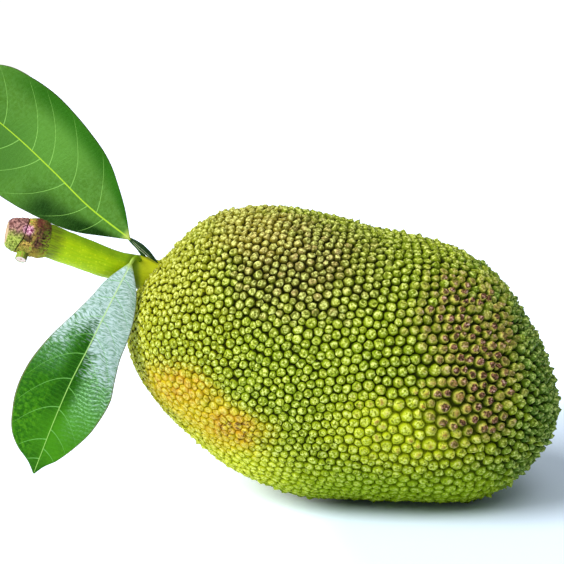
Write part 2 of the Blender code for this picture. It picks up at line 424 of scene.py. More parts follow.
def sideRadius(angle, y):
    # from the centre to the side outline, turning into a plain ellipse towards the flanks
    ring = np.array(fruit["outline"])
    place = angle / (2 * math.pi) % 1.0 * len(ring)
    i = np.floor(place).astype(int)
    near = [ring[(i + step) % len(ring)] for step in (-1, 0, 1, 2)]
    turned = angle - slope
    ellipse = 1 / np.hypot(np.cos(turned) / fruit["longHalf"], np.sin(turned) / fruit["shortHalf"])
    return (1 - y * y) * between(*near, place - i) + y * y * ellipse


def fruitSurface(directions):
    x, y, z = directions.T
    radius = sideRadius(np.arctan2(z, x), y)
    full = fruit["fullness"]
    scale = (np.hypot(x, z) ** full + np.abs(y) ** full) ** (-1 / full)
    for axis, height, spread in fruit["lobes"]:
        scale = scale * (1 + height * np.exp((directions @ units(np.array(axis)) - 1) / spread))
    side = scale * radius * x
    depth = scale * fruit["halfDepth"] * y + fruit["slant"] * side
    return fruitCentre + np.stack([side, depth, scale * radius * z], axis=1)


def towards(points):
    # the directions whose surface points lie on the rays from the centre through these points
    x, y, z = (points - fruitCentre).T
    y = (y - fruit["slant"] * x) / fruit["halfDepth"]
    angle = np.arctan2(z, x)
    flank = np.zeros(len(points))
    for _ in range(8):
        radius = sideRadius(angle, flank)
        directions = units(np.stack([x / radius, y, z / radius], axis=1))
        flank = directions[:, 1]
    return directions


# rind: rows of tubercles around the fruit, each a cell that rises to a tip

rind = {
    "seed": 7,
    "spacing": 0.0067,  # metres from tip to tip
    "wider": (0.0025, (0.036, -0.102, 0.08), (0.052, 0.09, 0.052)),  # added around a place of that size
    "widerRight": (0.0004, -0.05, 0.06),  # added, and the x where it starts and where it is full
    "widerBack": (0.0011, 0.01, 0.07),  # the same along Y
    "tighterLeft": (-0.0004, -0.08, -0.19),
    "jitter": 0.17,  # share of the spacing
    "relaxing": 2,
    "samples": 70000,
    "pointed": ((0.05, -0.098, 0.112), (0.075, 0.12, 0.085)),  # place and size of the pointed ones
    "pointedRight": (0.75, 0.02, 0.11),  # share, and the x where it starts and where it is full
    "pointedTop": (0.45, 0.155, 0.195),  # the same along Z
    "flat": (-0.055, -0.135),  # the low ones at the lower left start and are full there
    "height": 0.0035,
    "pointedHeight": 0.0062,
    "flatHeight": 0.0019,
    "unevenness": 0.14,  # of the heights
    "radii": (0.95, 0.82, 0.49),  # of the rings, as shares of the cell
    "pointedRadii": (0.87, 0.6, 0.28),
    "rises": (0.49, 0.85, 0.97),  # heights of the rings, as shares of the tubercle
    "pointedRises": (0.33, 0.69, 0.94),
    "rounding": 0.14,  # of each tubercle towards a circle
    "fine": 0.00032,  # metres of unevenness
    "lean": 0.0008,
    "pointedLean": (0.0016, 0.0, 0.0006),  # towards the blossom end
    "floorClearance": 0.0002,
    "zones": {  # place, size, softness and waviness of the edge, share of each tubercle's own chance
        "yellow": ((-0.18, -0.05, 0.12), (0.065, 0.1, 0.1), 0.45, 0.5, 1.0),
        "foot": ((-0.02, -0.03, 0.0), (0.19, 0.13, 0.048), 0.4, 0.3, 0.35),
        "lime": ((0.006, -0.107, 0.07), (0.054, 0.05, 0.028), 0.5, 0.6, 0.35),
        "olive": ((-0.064, -0.065, 0.186), (0.046, 0.06, 0.042), 0.6, 0.7, 1.0),
        "corner": ((-0.104, -0.04, 0.206), (0.034, 0.08, 0.018), 0.6, 0.7, 1.0),
        "shoulder": ((-0.158, -0.01, 0.178), (0.036, 0.09, 0.034), 0.6, 0.5, 1.0),
        # painted light: the left margin is made lighter where the lower leaf shades it
        "margin": ((-0.192, 0.0, 0.11), (0.026, 0.09, 0.085), 0.6, 0.5, 0.35),
        # painted light: the lower left edge is made brighter where it turns down, away from the light
        "edgeGlow": ((-0.146, -0.04, 0.036), (0.08, 0.09, 0.03), 0.6, 0.5, 0.35),
        "blush": ((-0.156, -0.06, 0.084), (0.034, 0.05, 0.024), 0.5, 1.1, 0.35),
        "lowBlush": ((-0.122, -0.075, 0.066), (0.033, 0.05, 0.022), 0.5, 1.0, 0.35),
        "heart": ((-0.152, -0.06, 0.095), (0.022, 0.05, 0.014), 0.8, 1.6, 0.0),
        "lowHeart": ((-0.116, -0.076, 0.068), (0.019, 0.05, 0.011), 0.8, 1.6, 0.0),
        # painted shade: the right end, away from the light, is darker and greener
        "dark": ((0.128, -0.03, 0.115), (0.06, 0.11, 0.12), 0.5, 0.5, 1.0),
        "brown": ((0.056, -0.1, 0.106), (0.031, 0.05, 0.042), 0.4, 0.6, 1.0),
        "farBrown": ((0.052, -0.085, 0.15), (0.038, 0.05, 0.038), 0.4, 0.6, 1.0),
        "rusty": ((0.014, -0.108, 0.08), (0.044, 0.05, 0.03), 0.5, 0.9, 1.0),
        "scarred": ((-0.108, -0.078, 0.066), (0.016, 0.05, 0.01), 0.5, 0.8, 0.0),
    },
    "bodyTones": (  # zone, share, colour of the sides of its tubercles
        ("yellow", 1.0, (0.238, 0.266, 0.002)),
        ("high", 0.5, (0.06, 0.085, 0.001)),
        ("foot", 1.0, (0.215, 0.33, 0.001)),
        ("lime", 0.8, (0.44, 0.51, 0.006)),
        ("olive", 0.75, (0.085, 0.062, 0.008)),
        ("corner", 0.7, (0.24, 0.19, 0.012)),
        ("shoulder", 0.7, (0.34, 0.35, 0.01)),
        ("margin", 0.7, (0.43, 0.43, 0.004)),
        ("edgeGlow", 0.9, (0.45, 0.49, 0.004)),
        ("blush", 1.0, (0.5, 0.39, 0.004)),
        ("heart", 1.0, (0.48, 0.24, 0.008)),
        ("dark", 1.0, (0.024, 0.076, 0.003)),
        ("brown", 0.75, (0.075, 0.095, 0.004)),
    ),
    "crownTones": (  # the same for their tops
        ("foot", 1.0, (0.35, 0.49, 0.014)),
        ("lime", 0.7, (0.62, 0.67, 0.05)),
        ("olive", 0.5, (0.39, 0.34, 0.13)),
        ("tanned", 0.8, (0.38, 0.26, 0.1)),
        ("corner", 0.7, (0.64, 0.56, 0.17)),
        ("shoulder", 0.7, (0.54, 0.53, 0.09)),
        ("margin", 0.55, (0.6, 0.59, 0.07)),
        ("edgeGlow", 0.9, (0.74, 0.76, 0.08)),
        ("blush", 1.0, (0.64, 0.52, 0.05)),
        ("heart", 0.8, (0.64, 0.33, 0.06)),
        ("dark", 1.0, (0.098, 0.204, 0.034)),
        ("brown", 0.6, (0.48, 0.46, 0.04)),
    ),
}
ringWords = (("", "radii", "rises"), ("Pointed ", "pointedRadii", "pointedRises"))


def rising(key, value):
    amount, start, full = rind[key]
    return amount * smooth(start, full, value)


def spacingAt(points):
    x, y, z = points.T
    more, centre, size = rind["wider"]
    gap = rind["spacing"] + more * np.exp(-lengths((points - np.array(centre)) / np.array(size)) ** 2)
    gap += rising("widerRight", x)
    gap += rising("widerBack", y)
    gap += rising("tighterLeft", x + 0.35 * (z - 0.1))
    return gap


def pointedAt(points):
    centre, size = rind["pointed"]
    near = smooth(1.15, 0.45, lengths((points - np.array(centre)) / np.array(size)))
    return np.maximum.reduce([near, rising("pointedRight", points[:, 0]), rising("pointedTop", points[:, 2])])


def ringDirections(polar, turn):
    # rings square to the long axis of a plain ellipsoid of the fruit's size
    across = np.cos(turn)[:, None] * upAxis + np.sin(turn)[:, None] * sideAxis
    forward = np.cos(polar)[:, None] * longAxis * fruit["longHalf"]
    return towards(fruitCentre + forward + np.sin(polar)[:, None] * across * fruit["shortHalf"])


def countAlong(directions):
    # how many tubercles fit on a line over the fruit, up to each of its points
    line = fruitSurface(directions)
    gaps = spacingAt((line[1:] + line[:-1]) / 2)
    return np.concatenate([[0], np.cumsum(lengths(np.diff(line, axis=0)) / gaps)])


def placeTubercles(rng):
    # rows a hexagon's height apart, from the blossom end to the stalk end
    steps = np.linspace(0.0, math.pi, 400)
    turns = np.linspace(0, 2 * math.pi, 24, endpoint=False)
    far = sum(countAlong(ringDirections(steps, np.full(len(steps), turn))) / len(turns) for turn in turns)
    rows = round(far[-1] / (math.sqrt(3) / 2))
    around = np.linspace(0, 2 * math.pi, 1441)
    found = []
    for row in range(rows):
        polar = np.interp((row + 0.5) / rows * far[-1], far, steps)
        passed = countAlong(ringDirections(np.full(len(around), polar), around))
        count = max(3, round(passed[-1]))
        marks = (np.arange(count) + 0.5 * (row % 2)) / count * passed[-1]
        found.append(ringDirections(np.full(count, polar), np.interp(marks, passed, around)))
    points = fruitSurface(np.concatenate(found))
    return towards(points + rng.normal(size=points.shape) * (rind["jitter"] * spacingAt(points))[:, None])


def relaxTubercles(directions, rng):
    # each site moves to the middle of the skin that is nearest to it
    loose = units(rng.normal(size=(rind["samples"] * 2, 3)))
    skin = fruitSurface(loose)
    crowding = 1 / lengths(skin - fruitCentre) ** 2
    keep = rng.random(len(skin)) < crowding.min() / crowding
    skin = skin[keep][: rind["samples"]]
    weight = spacingAt(skin) ** -4
    for _ in range(rind["relaxing"]):
        sites = fruitSurface(directions)
        tree = KDTree(len(sites))
        for i, site in enumerate(sites):
            tree.insert(site, i)
        tree.balance()
        owner = np.fromiter((tree.find(p)[1] for p in skin), int, len(skin))
        total = np.bincount(owner, weight, len(sites))
        middle = np.stack([np.bincount(owner, weight * skin[:, k], len(sites)) for k in range(3)], axis=1)
        used = total > 0
        sites[used] = middle[used] / total[used][:, None]
        directions = towards(sites)
    return directions


def seedMesh(rng):
    # a net of triangles whose corners are the middles of the tubercles' feet
    bm = bmesh.new()
    for direction in relaxTubercles(placeTubercles(rng), rng):
        bm.verts.new(direction)
    bmesh.ops.convex_hull(bm, input=bm.verts, use_existing_faces=False)
    bmesh.ops.delete(bm, geom=[v for v in bm.verts if not v.link_faces], context="VERTS")
    tips = fruitSurface(units(np.array([v.co for v in bm.verts])))
    for vertex, tip in zip(bm.verts, tips):
        vertex.co = tip
    bm.normal_update()
    normals = np.array([v.normal for v in bm.verts])
    pointed = pointedAt(tips)
    flat = smooth(*rind["flat"], tips[:, 0] + 0.9 * (tips[:, 2] - 0.06))
    tall = rind["height"] + (rind["pointedHeight"] - rind["height"]) * pointed
    tall = tall + (rind["flatHeight"] - tall) * flat
    tall *= 1 + rind["unevenness"] * rng.normal(size=len(tall)).clip(-2, 2)
    for vertex, point in zip(bm.verts, tips - normals * tall[:, None]):
        vertex.co = point
    bmesh.ops.beautify_fill(bm, faces=bm.faces, edges=bm.edges, method="ANGLE")
    bmesh.ops.recalc_face_normals(bm, faces=bm.faces)
    mesh = bpy.data.meshes.new("rindNet")
    bm.to_mesh(mesh)
    bm.free()
    setAttribute(mesh, "tall", tall)
    setAttribute(mesh, "pointed", pointed)
    setAttribute(mesh, "shade", rng.random(len(tall)))
    return mesh


def tubercleTree():
    # raises every cell of the dual net in four steps: three rings and a tip
    tree = bpy.data.node_groups.new("tubercles", "GeometryNodeTree")
    sizes = [word + size for i in "123" for word, _, _ in ringWords for size in ("Radius " + i, "Rise " + i)]
    kinds = {"Geometry": "Geometry", **dict.fromkeys(sizes, "Float"), "Material": "Material"}
    for name, kind in kinds.items():
        tree.interface.new_socket(name, in_out="INPUT", socket_type="NodeSocket" + kind)
    tree.interface.new_socket("Geometry", in_out="OUTPUT", socket_type="NodeSocketGeometry")
    given = tree.nodes.new("NodeGroupInput").outputs
    result = tree.nodes.new("NodeGroupOutput").inputs

    def store(geometry, name, value, kind, domain, **only):
        inputs = {"Geometry": geometry, "Name": name, "Value": value, **only}
        return join("GeometryNodeStoreNamedAttribute", inputs, data_type=kind, domain=domain).outputs[0]

    def named(name):
        return addNode(tree, "GeometryNodeInputNamedAttribute", {"Name": name}, data_type="FLOAT").outputs[0]

    geometry = join("GeometryNodeDualMesh", {"Mesh": given["Geometry"]}).outputs[0]
    index, middle, normal = [
        tree.nodes.new("GeometryNodeInput" + word).outputs[0] for word in ("Index", "Position", "Normal")
    ]
    geometry = store(geometry, "cell", index, "INT", "FACE")
    geometry = store(geometry, "cellMiddle", middle, "FLOAT_VECTOR", "FACE")
    geometry = store(geometry, "cellNormal", normal, "FLOAT_VECTOR", "FACE")
    geometry = store(geometry, "radial", 0.0, "FLOAT", "POINT")
    radius, rise, top = None, None, {}
    for i in "123 ":
        lastRadius, lastRise = radius or 1.0, rise or 0.0
        radius, rise = [
            mixed(named("pointed"), given[size + i], given["Pointed " + size + i]) if i in "123" else None
            for size in ("Radius ", "Rise ")
        ]
        step = times(calc("SUBTRACT", rise or 1.0, lastRise), named("tall"))
        inputs = {"Mesh": geometry, "Offset Scale": step, "Individual": True, **top}
        grown = join("GeometryNodeExtrudeMesh", inputs, mode="FACES")
        top = {"Selection": grown.outputs["Top"]}
        shrink = calc("DIVIDE", radius, lastRadius) if radius else 0.0
        inputs = {"Geometry": grown.outputs["Mesh"], "Scale": shrink, **top}
        geometry = join("GeometryNodeScaleElements", inputs, domain="FACE").outputs[0]
        share = calc("SUBTRACT", 1.0, radius) if radius else 1.0
        geometry = store(geometry, "radial", share, "FLOAT", "POINT", **top)
    geometry = join("GeometryNodeMergeByDistance", {"Geometry": geometry, "Distance": 1e-6}).outputs[0]
    geometry = join("GeometryNodeSetShadeSmooth", {"Geometry": geometry}).outputs[0]
    geometry = join("GeometryNodeRealizeInstances", {"Geometry": geometry}).outputs[0]
    painted = join("GeometryNodeSetMaterial", {"Geometry": geometry, "Material": given["Material"]})
    plug(result["Geometry"], painted.outputs[0])
    return tree


def runNodes(name, mesh, tree, values):
    # the plain mesh that a geometry tree makes of another
    holder = newObject(name, mesh)
    modifier = holder.modifiers.new("nodes", "NODES")
    modifier.node_group = tree
    for item in tree.interface.items_tree:
        if item.item_type == "SOCKET" and item.in_out == "INPUT" and item.name in values:
            modifier[item.identifier] = values[item.name]
    graph = bpy.context.evaluated_depsgraph_get()
    made = bpy.data.meshes.new_from_object(holder.evaluated_get(graph))
    holder.modifiers.remove(modifier)
    bpy.data.objects.remove(holder)
    return newObject(name, made)


def layOutRind(mesh, corner, middle, normal):
    # a band around the girth and two caps, each whole tubercle in one of them
    def lay(where):
        offset = where - fruitCentre
        return offset @ longAxis, np.stack([offset @ upAxis, offset @ sideAxis], axis=1)

    forward, across = lay(corner - normal * ((corner - middle) * normal).sum(1)[:, None])
    middleForward, middleAcross = lay(middle)
    bandEnd = 0.105  # metres from the fruit's centre, where the caps begin
    bandMiddle, bandHalf, capHeight, capSize = 0.7, 0.26, 0.21, np.array([0.52, 0.4])  # on the map
    middleAngle = np.arctan2(middleAcross[:, 1], middleAcross[:, 0])
    angle = np.arctan2(across[:, 1], across[:, 0])
    angle = middleAngle + (angle - middleAngle + math.pi) % (2 * math.pi) - math.pi
    uv = np.stack([0.5 + angle / (2 * math.pi) * 0.95, bandMiddle + forward / bandEnd * bandHalf], axis=1)
    polar = np.arctan2(lengths(across), np.abs(forward))
    ball = across / lengths(across)[:, None] * np.sin(polar / 2)[:, None]
    for sign, centre in ((1, 0.25), (-1, 0.75)):
        inCap = middleForward * sign > bandEnd
        uv[inCap] = np.array([centre, capHeight]) + ball[inCap] * capSize
    addBakeMap(mesh, uv)


def roundOff(points, loops, middle, normal, cell, radial):
    # draws every ring of a tubercle towards a circle, and tells how far out each corner is
    def sideways():
        offset = points[loops] - middle
        return offset - normal * (offset * normal).sum(1)[:, None]

    offset = sideways()
    foot = radial[loops] == 0
    far = lengths(offset)
    reach = np.bincount(cell, far * foot) / np.maximum(np.bincount(cell, foot), 1)
    wanted = (1 - radial[loops]) * reach[cell]
    ring = ~foot & (radial[loops] < 1)
    push = np.zeros(len(points))
    push[loops[ring]] = rind["rounding"] * (wanted - far)[ring] / far[ring]
    direction = np.zeros_like(points)
    direction[loops] = offset
    points += direction * (push * (radial > 0))[:, None]
    inRadius = 0.866 * reach[cell]  # of a hexagon with that reach
    return sideways() / inRadius[:, None]


def makeRind(material):
    rng = np.random.default_rng(rind["seed"])
    net = seedMesh(rng)
    values = {"Material": material}
    for word, radii, rises in ringWords:
        for i in range(3):
            values[f"{word}Radius {i + 1}"] = rind[radii][i]
            values[f"{word}Rise {i + 1}"] = rind[rises][i]
    print("rind net of", len(net.vertices), "tubercles")
    obj = runNodes("rind", net, tubercleTree(), values)
    mesh = obj.data
    points = bulk(mesh.vertices, "co", width=3).astype(float)
    loops = bulk(mesh.loops, "vertex_index", np.int32)
    sizes = bulk(mesh.polygons, "loop_total", np.int32)
    faceOf = np.repeat(np.arange(len(sizes)), sizes)
    middle, normal = [
        bulk(mesh.attributes[name].data, "vector", width=3)[faceOf] for name in ("cellMiddle", "cellNormal")
    ]
    layOutRind(mesh, points[loops], middle, normal)
    cell = getAttribute(mesh, "cell", np.int32)[faceOf]
    radial = getAttribute(mesh, "radial")
    outward = roundOff(points, loops, middle, normal, cell, radial)
    setAttribute(mesh, "outward", outward, "FLOAT_VECTOR", "CORNER")
    cellOfPoint, sharp = np.zeros(len(points), int), np.zeros(len(points))
    cellOfPoint[loops] = cell
    sharp[loops] = getAttribute(mesh, "pointed")[faceOf]
    lean = rng.normal(size=(cell.max() + 1, 3)) * rind["lean"]
    points += lean[cellOfPoint] * (radial ** 1.5)[:, None]
    points += np.array(rind["pointedLean"]) * (sharp * radial)[:, None]
    fine = rng.normal(size=points.shape) * rind["fine"]
    points += fine * (radial > 0)[:, None]
    points[:, 2] = np.maximum(points[:, 2], rind["floorClearance"])
    mesh.vertices.foreach_set("co", points.astype(np.float32).ravel())
    for name in ("cell", "cellMiddle", "cellNormal", "tall"):
        mesh.attributes.remove(mesh.attributes[name])
    mesh.update()
    finishPiece(obj, "fruit")


def rindMaterial():
    material, tree, skin, place = newMaterial("livingRind", 0.5, 0.05)
    depth = calc("SUBTRACT", 1.0, lengthOf(readVector(tree, "outward")))  # 0 in the gaps, 1 on the tips
    shade = read(tree, "shade")
    jitter = calc("MULTIPLY_ADD", shade, 0.5, -0.25)
    grain = clouds(place, 0.0026, 2.0, 0.6)
    fleck = clouds(place, 0.0019, 2.0, 0.6)
    mottle = mapped(clouds(place, 0.006, 3.0, 0.6), 0.38, 0.62)
    zone = {name: patch(place, *spot[:4], times(jitter, spot[4])) for name, spot in rind["zones"].items()}
    zone["high"] = mapped(axisOf(place, "Z"), 0.125, 0.185)
    zone["tanned"] = times(zone["olive"], mapped(calc("FRACT", times(shade, 7.0)), 0.5, 0.7))
    zone["blush"] = calc("MAXIMUM", zone["blush"], zone["lowBlush"])
    patchy = mapped(mottle, 0.0, 1.0, 0.15, 0.9)
    zone["heart"] = times(calc("MAXIMUM", zone["heart"], zone["lowHeart"]), patchy)
    zone["dark"] = times(zone["dark"], 0.88)
    farBrown = times(zone["farBrown"], mapped(shade, 0.1, 0.4))
    zone["brown"] = calc("MAXIMUM", zone["brown"], farBrown)
    body = blended(shade, (0.136, 0.21, 0.001), (0.208, 0.28, 0.002))
    body = layered(body, *[(zone[name], share, tone) for name, share, tone in rind["bodyTones"]])
    # the tops of the tubercles are paler: partly their own colour, partly a painted highlight
    crown = blended(shade, (0.265, 0.35, 0.014), (0.4, 0.465, 0.04))
    crown = layered(crown, *[(zone[name], share, tone) for name, share, tone in rind["crownTones"]])

    # painted shade: the gaps between the beads are painted near black where they are deep, and less dark over
    # the flat, shallow cells low down
    shallow = calc("MAXIMUM", times(zone["foot"], 0.75), zone["blush"])
    shallow = calc("MAXIMUM", shallow, times(zone["lime"], 0.45))
    shallow = calc("MAXIMUM", shallow, times(zone["edgeGlow"], 0.8))
    calm = mapped(shallow, 0.2, 0.9, 1.0, 0.45)
    gap = blended(mapped(shallow, 0.0, 1.0, 0.1, 0.85, kind="LINEAR"), (0.003, 0.004, 0.0), body)
    onTop = mapped(depth, 0.18, 0.44)
    # painted highlight: pale flecks on the tops, fewer on the shaded right end
    paintedHighlightShare = mapped(zone["dark"], 0.0, 1.0, 0.68, 0.4)
    colour = layered(
        blended(mapped(depth, -0.04, mapped(grain, 0.35, 0.65, 0.13, 0.27)), gap, body),
        (mapped(depth, 0.14, 0.46), mapped(grain, 0.4, 0.58, 0.3, 1.0), crown),
        (onTop, mapped(fleck, 0.515, 0.59), calm, paintedHighlightShare, (0.72, 0.77, 0.23)),
        (onTop, mapped(fleck, 0.465, 0.39), calm, 0.85, (0.062, 0.08, 0.004)),
        (mapped(depth, calc("MULTIPLY_ADD", shade, 0.1, 0.76), 0.95), 0.55, (0.16, 0.14, 0.01)),
    )

    # worn brown tips: a cream ring around a dark cap, with rusty and pale crumbs on it
    uneven = calc("MULTIPLY_ADD", grain, 0.55, calc("ADD", depth, -0.275))
    crumbs = blended(mapped(fleck, 0.42, 0.56), (0.014, 0.004, 0.004), (0.17, 0.056, 0.04))
    rusty = times(zone["rusty"], mapped(shade, 0.42, 0.72))
    rough = calc("MULTIPLY_ADD", fleck, 1.6, calc("ADD", depth, -0.8))
    colour = layered(
        colour,
        (zone["brown"], mapped(uneven, 0.16, 0.34), 0.6, (0.56, 0.47, 0.09)),
        (zone["brown"], mapped(uneven, 0.36, 0.48), 0.95, crumbs),
        (zone["brown"], mapped(uneven, 0.45, 0.6), mapped(fleck, 0.56, 0.64), 0.75, (0.56, 0.4, 0.31)),
        (rusty, mapped(rough, 0.3, 0.6), 0.55, (0.62, 0.52, 0.06)),
        (rusty, mapped(rough, 0.62, 0.8), 0.85, (0.17, 0.045, 0.014)),
        (zone["scarred"], mapped(grain, 0.54, 0.62), 0.8, (0.08, 0.028, 0.012)),
    )
    relief = calc("MULTIPLY_ADD", fleck, 0.6, clouds(place, 0.001))
    finishSkin(skin, colour, relief, 0.0011, 0.55)
    return material


makeRind(rindMaterial())


# skins that are swept along a line

def sweep(name, rings, values):
    # a closed skin over rings of points, its ends drawn in to a middle point
    rows, count = rings.shape[:2]
    i, j = [grid.ravel() for grid in np.meshgrid(np.arange(rows - 1), np.arange(count), indexing="ij")]
    k = (j + 1) % count
    quads = np.stack([i * count + j, i * count + k, (i + 1) * count + k, (i + 1) * count + j], axis=1)
    places = np.stack([np.stack([j + a, i + b], axis=1) for a, b in ((0, 0), (1, 0), (1, 1), (0, 1))], axis=1)
    uv = [0.02 + places * np.array([0.96 / count, 0.96 / (rows - 1)])]
    column = np.arange(count)
    after = (column + 1) % count
    first, base = rows * count, (rows - 1) * count
    caps = [
        np.stack([after, column, np.full(count, first)], axis=1),
        np.stack([base + column, base + after, np.full(count, first + 1)], axis=1),
    ]
    for edge, tip, order in ((0.02, 0.005, (1, 0)), (0.98, 0.995, (0, 1))):
        corners = [np.stack([(column + a) / count, np.full(count, edge)], axis=1) for a in order]
        corners.append(np.stack([(column + 0.5) / count, np.full(count, tip)], axis=1))
        uv.append(np.stack(corners, axis=1) * np.array([0.96, 1.0]) + np.array([0.02, 0.0]))
    points = np.concatenate([rings.reshape(-1, 3), rings[:1].mean(axis=1), rings[-1:].mean(axis=1)])
    faces = [quads, *caps]
    outward = np.linalg.det(points[np.concatenate([quads[:, :3], quads[:, [0, 2, 3]], *caps])]).sum() > 0
    if not outward:
        faces = [part[:, ::-1] for part in faces]
        uv = [part[:, ::-1] for part in uv]
    obj = meshObject(name, points, [face for part in faces for face in part.tolist()])
    addBakeMap(obj.data, np.concatenate([part.reshape(-1, 2) for part in uv]))
    for key, value in values.items():
        kind, shape = ("FLOAT_VECTOR", rings.shape) if value.ndim == 3 else ("FLOAT", (rows, count))
        value = np.broadcast_to(value, shape)
        parts = [value.reshape(-1, *shape[2:]), value[:1].mean(axis=1), value[-1:].mean(axis=1)]
        setAttribute(obj.data, key, np.concatenate(parts), kind)
    return obj


def lineFrame(line, facing):
    forward = units(np.gradient(line, axis=0))
    across = units(np.cross(np.array(facing, float), forward))
    return across, np.cross(forward, across)


def stemFrame(stem):
    # a straight stem's start and length, where it runs to, and the two directions across it
    start, end = np.array(stem["start"]), np.array(stem["end"])
    forward = units(end - start)
    across = units(np.cross([0.0, -1.0, 0.0], forward))
    return start, lengths(end - start), forward, across, np.cross(forward, across)


def around(count):
    return np.linspace(0, 2 * math.pi, count, endpoint=False)


def spokes(across, normal, angle):
    x, y = np.cos(angle)[:, None], np.sin(angle)[:, None]
    return across[..., None, :] * x + normal[..., None, :] * y


def roundGrain(angle, radius, run):
    # places around and along a stem, for the fibres on it
    parts = np.broadcast_arrays(np.cos(angle) * radius, np.sin(angle) * radius, run[:, None])
    return np.stack(parts, axis=2)


def softened(values):
    return np.convolve(np.pad(values, 4, mode="edge"), np.ones(9) / 9, mode="valid")


# leaves: blade, midrib and leaf stem grown as one skin

leafWork = {
    "bladeRows": 236,
    "stemRows": 26,
    "columns": 96,  # across the top, and as many below
    "crowding": 1.3,  # of the columns towards the midrib
    "thickness": 0.0005,  # metres
    "topRidge": 0.00022,
    "topRidgeWidth": 0.001,
    "underRidge": (0.0013, 0.0003),  # at the base and at the tip
    "underRidgeWidth": 0.0013,
    "sideRidge": 0.00022,
    "sideRidgeWidth": 0.06,  # share of the gap between two side veins
    "bladeStart": 0.035,  # share of the leaf in which its stem turns into the blade
    "stemRadius": 0.0014,
    "ladder": 0.0031,  # between the small cross veins
    "ladderSlope": 0.12,
}

upperLeaf = {
    "midrib": (
        (-0.1918, 0.013, 0.1914), (-0.2219, 0.02, 0.214), (-0.249, 0.027, 0.24),
        (-0.277, 0.0315, 0.266), (-0.306, 0.031, 0.29), (-0.337, 0.026, 0.312),
    ),
    "facing": (0.1, -1.0, 0.18),
    "left": (1.6, 18.5, 30.0, 37.0, 40.8, 43.2, 44.4, 42.4, 37.5, 22.0, 0.8),  # millimetres
    "right": (1.6, 12.0, 23.0, 31.5, 37.5, 41.5, 42.5, 41.0, 34.0, 20.0, 0.8),
    "droop": 0.006,
    "stem": ((-0.177, 0.006, 0.173), (-0.1832, 0.01, 0.1825), (-0.189, 0.0122, 0.1885)),
    "leftVeins": (31.0, 58.6, 82.0, 99.2, 128.0, 146.0, 162.0, 176.0),  # millimetres up the midrib
    "rightVeins": (24.0, 39.7, 64.3, 90.5, 112.0, 132.0, 150.0, 166.0, 178.0),
    "leftBend": (0.33, 14.5),  # of the side veins towards the tip
    "rightBend": (0.2, 15.0),
    "quilt": 0.00035,
    "ripple": 0.000012,
    "wave": 0.0009,
    "midribWidth": (0.00074, 0.00034),
    "dripTip": 0.0,
}

lowerLeaf = {
    "midrib": (
        (-0.188, -0.015, 0.1755), (-0.202, -0.031, 0.148), (-0.215, -0.047, 0.1215),
        (-0.2275, -0.06, 0.097), (-0.2395, -0.069, 0.069), (-0.253, -0.076, 0.0345),
    ),
    "facing": (0.15, -0.85, 0.5),
    "left": (1.6, 10.6, 15.2, 21.5, 27.5, 31.3, 34.0, 34.5, 31.5, 23.5, 0.8),
    "right": (1.6, 13.5, 20.0, 23.0, 24.2, 27.8, 31.3, 30.1, 25.8, 16.0, 0.8),
    "droop": 0.005,
    "stem": ((-0.182, 0.0, 0.1765), (-0.1835, -0.008, 0.18), (-0.186, -0.013, 0.179)),
    "leftVeins": (15.0, 29.0, 45.0, 60.0, 76.0, 96.2, 118.0, 142.5, 157.0),
    "rightVeins": (12.0, 27.5, 47.7, 61.0, 76.0, 102.6, 119.7, 135.0, 149.5),
    "leftBend": (0.17, 24.0),
    "rightBend": (0.3, 32.0),
    "quilt": 0.00045,
    "ripple": 0.00005,
    "wave": 0.0006,
    "midribWidth": (0.00066, 0.0003),
    "dripTip": 0.24,  # how much narrower the last stretch is
}


def leafCurve(leaf):
    # centre line, how far along it each row is, the half widths on both sides and the share of a blade
    stemShare = np.linspace(0, 1, leafWork["stemRows"], endpoint=False)
    bladeShare = np.linspace(0, 1, leafWork["bladeRows"])
    stem = along(list(leaf["stem"]) + [leaf["midrib"][0]], stemShare)
    blade = along(leaf["midrib"], bladeShare)
    line = np.concatenate([stem, blade])
    run = travelled(line) - travelled(stem)[-1] - lengths(blade[0] - stem[-1])
    stemWidth = leafWork["stemRadius"] * (1.12 - 0.2 * stemShare)
    narrow = (1 - leaf["dripTip"] * smooth(0.93, 0.975, bladeShare)) / 1000
    half = [np.concatenate([stemWidth, along(leaf[side], bladeShare) * narrow]) for side in ("left", "right")]
    return line, run, half, np.concatenate([stemShare * 0, bladeShare])


def veinPhase(leaf, side, run, off):
    # counts the side veins up the leaf: a whole number on each of them
    slope, bend = leaf[side + "Bend"]
    starts = np.array(leaf[side + "Veins"]) / 1000
    climb = run - slope * np.abs(off) - bend * off * off
    gaps = np.diff(starts)
    i = np.clip(np.searchsorted(starts, climb) - 1, 0, len(gaps) - 1)
    return np.clip(i + (climb - starts[i]) / gaps[i], -0.49, len(starts) - 0.51), gaps[i]


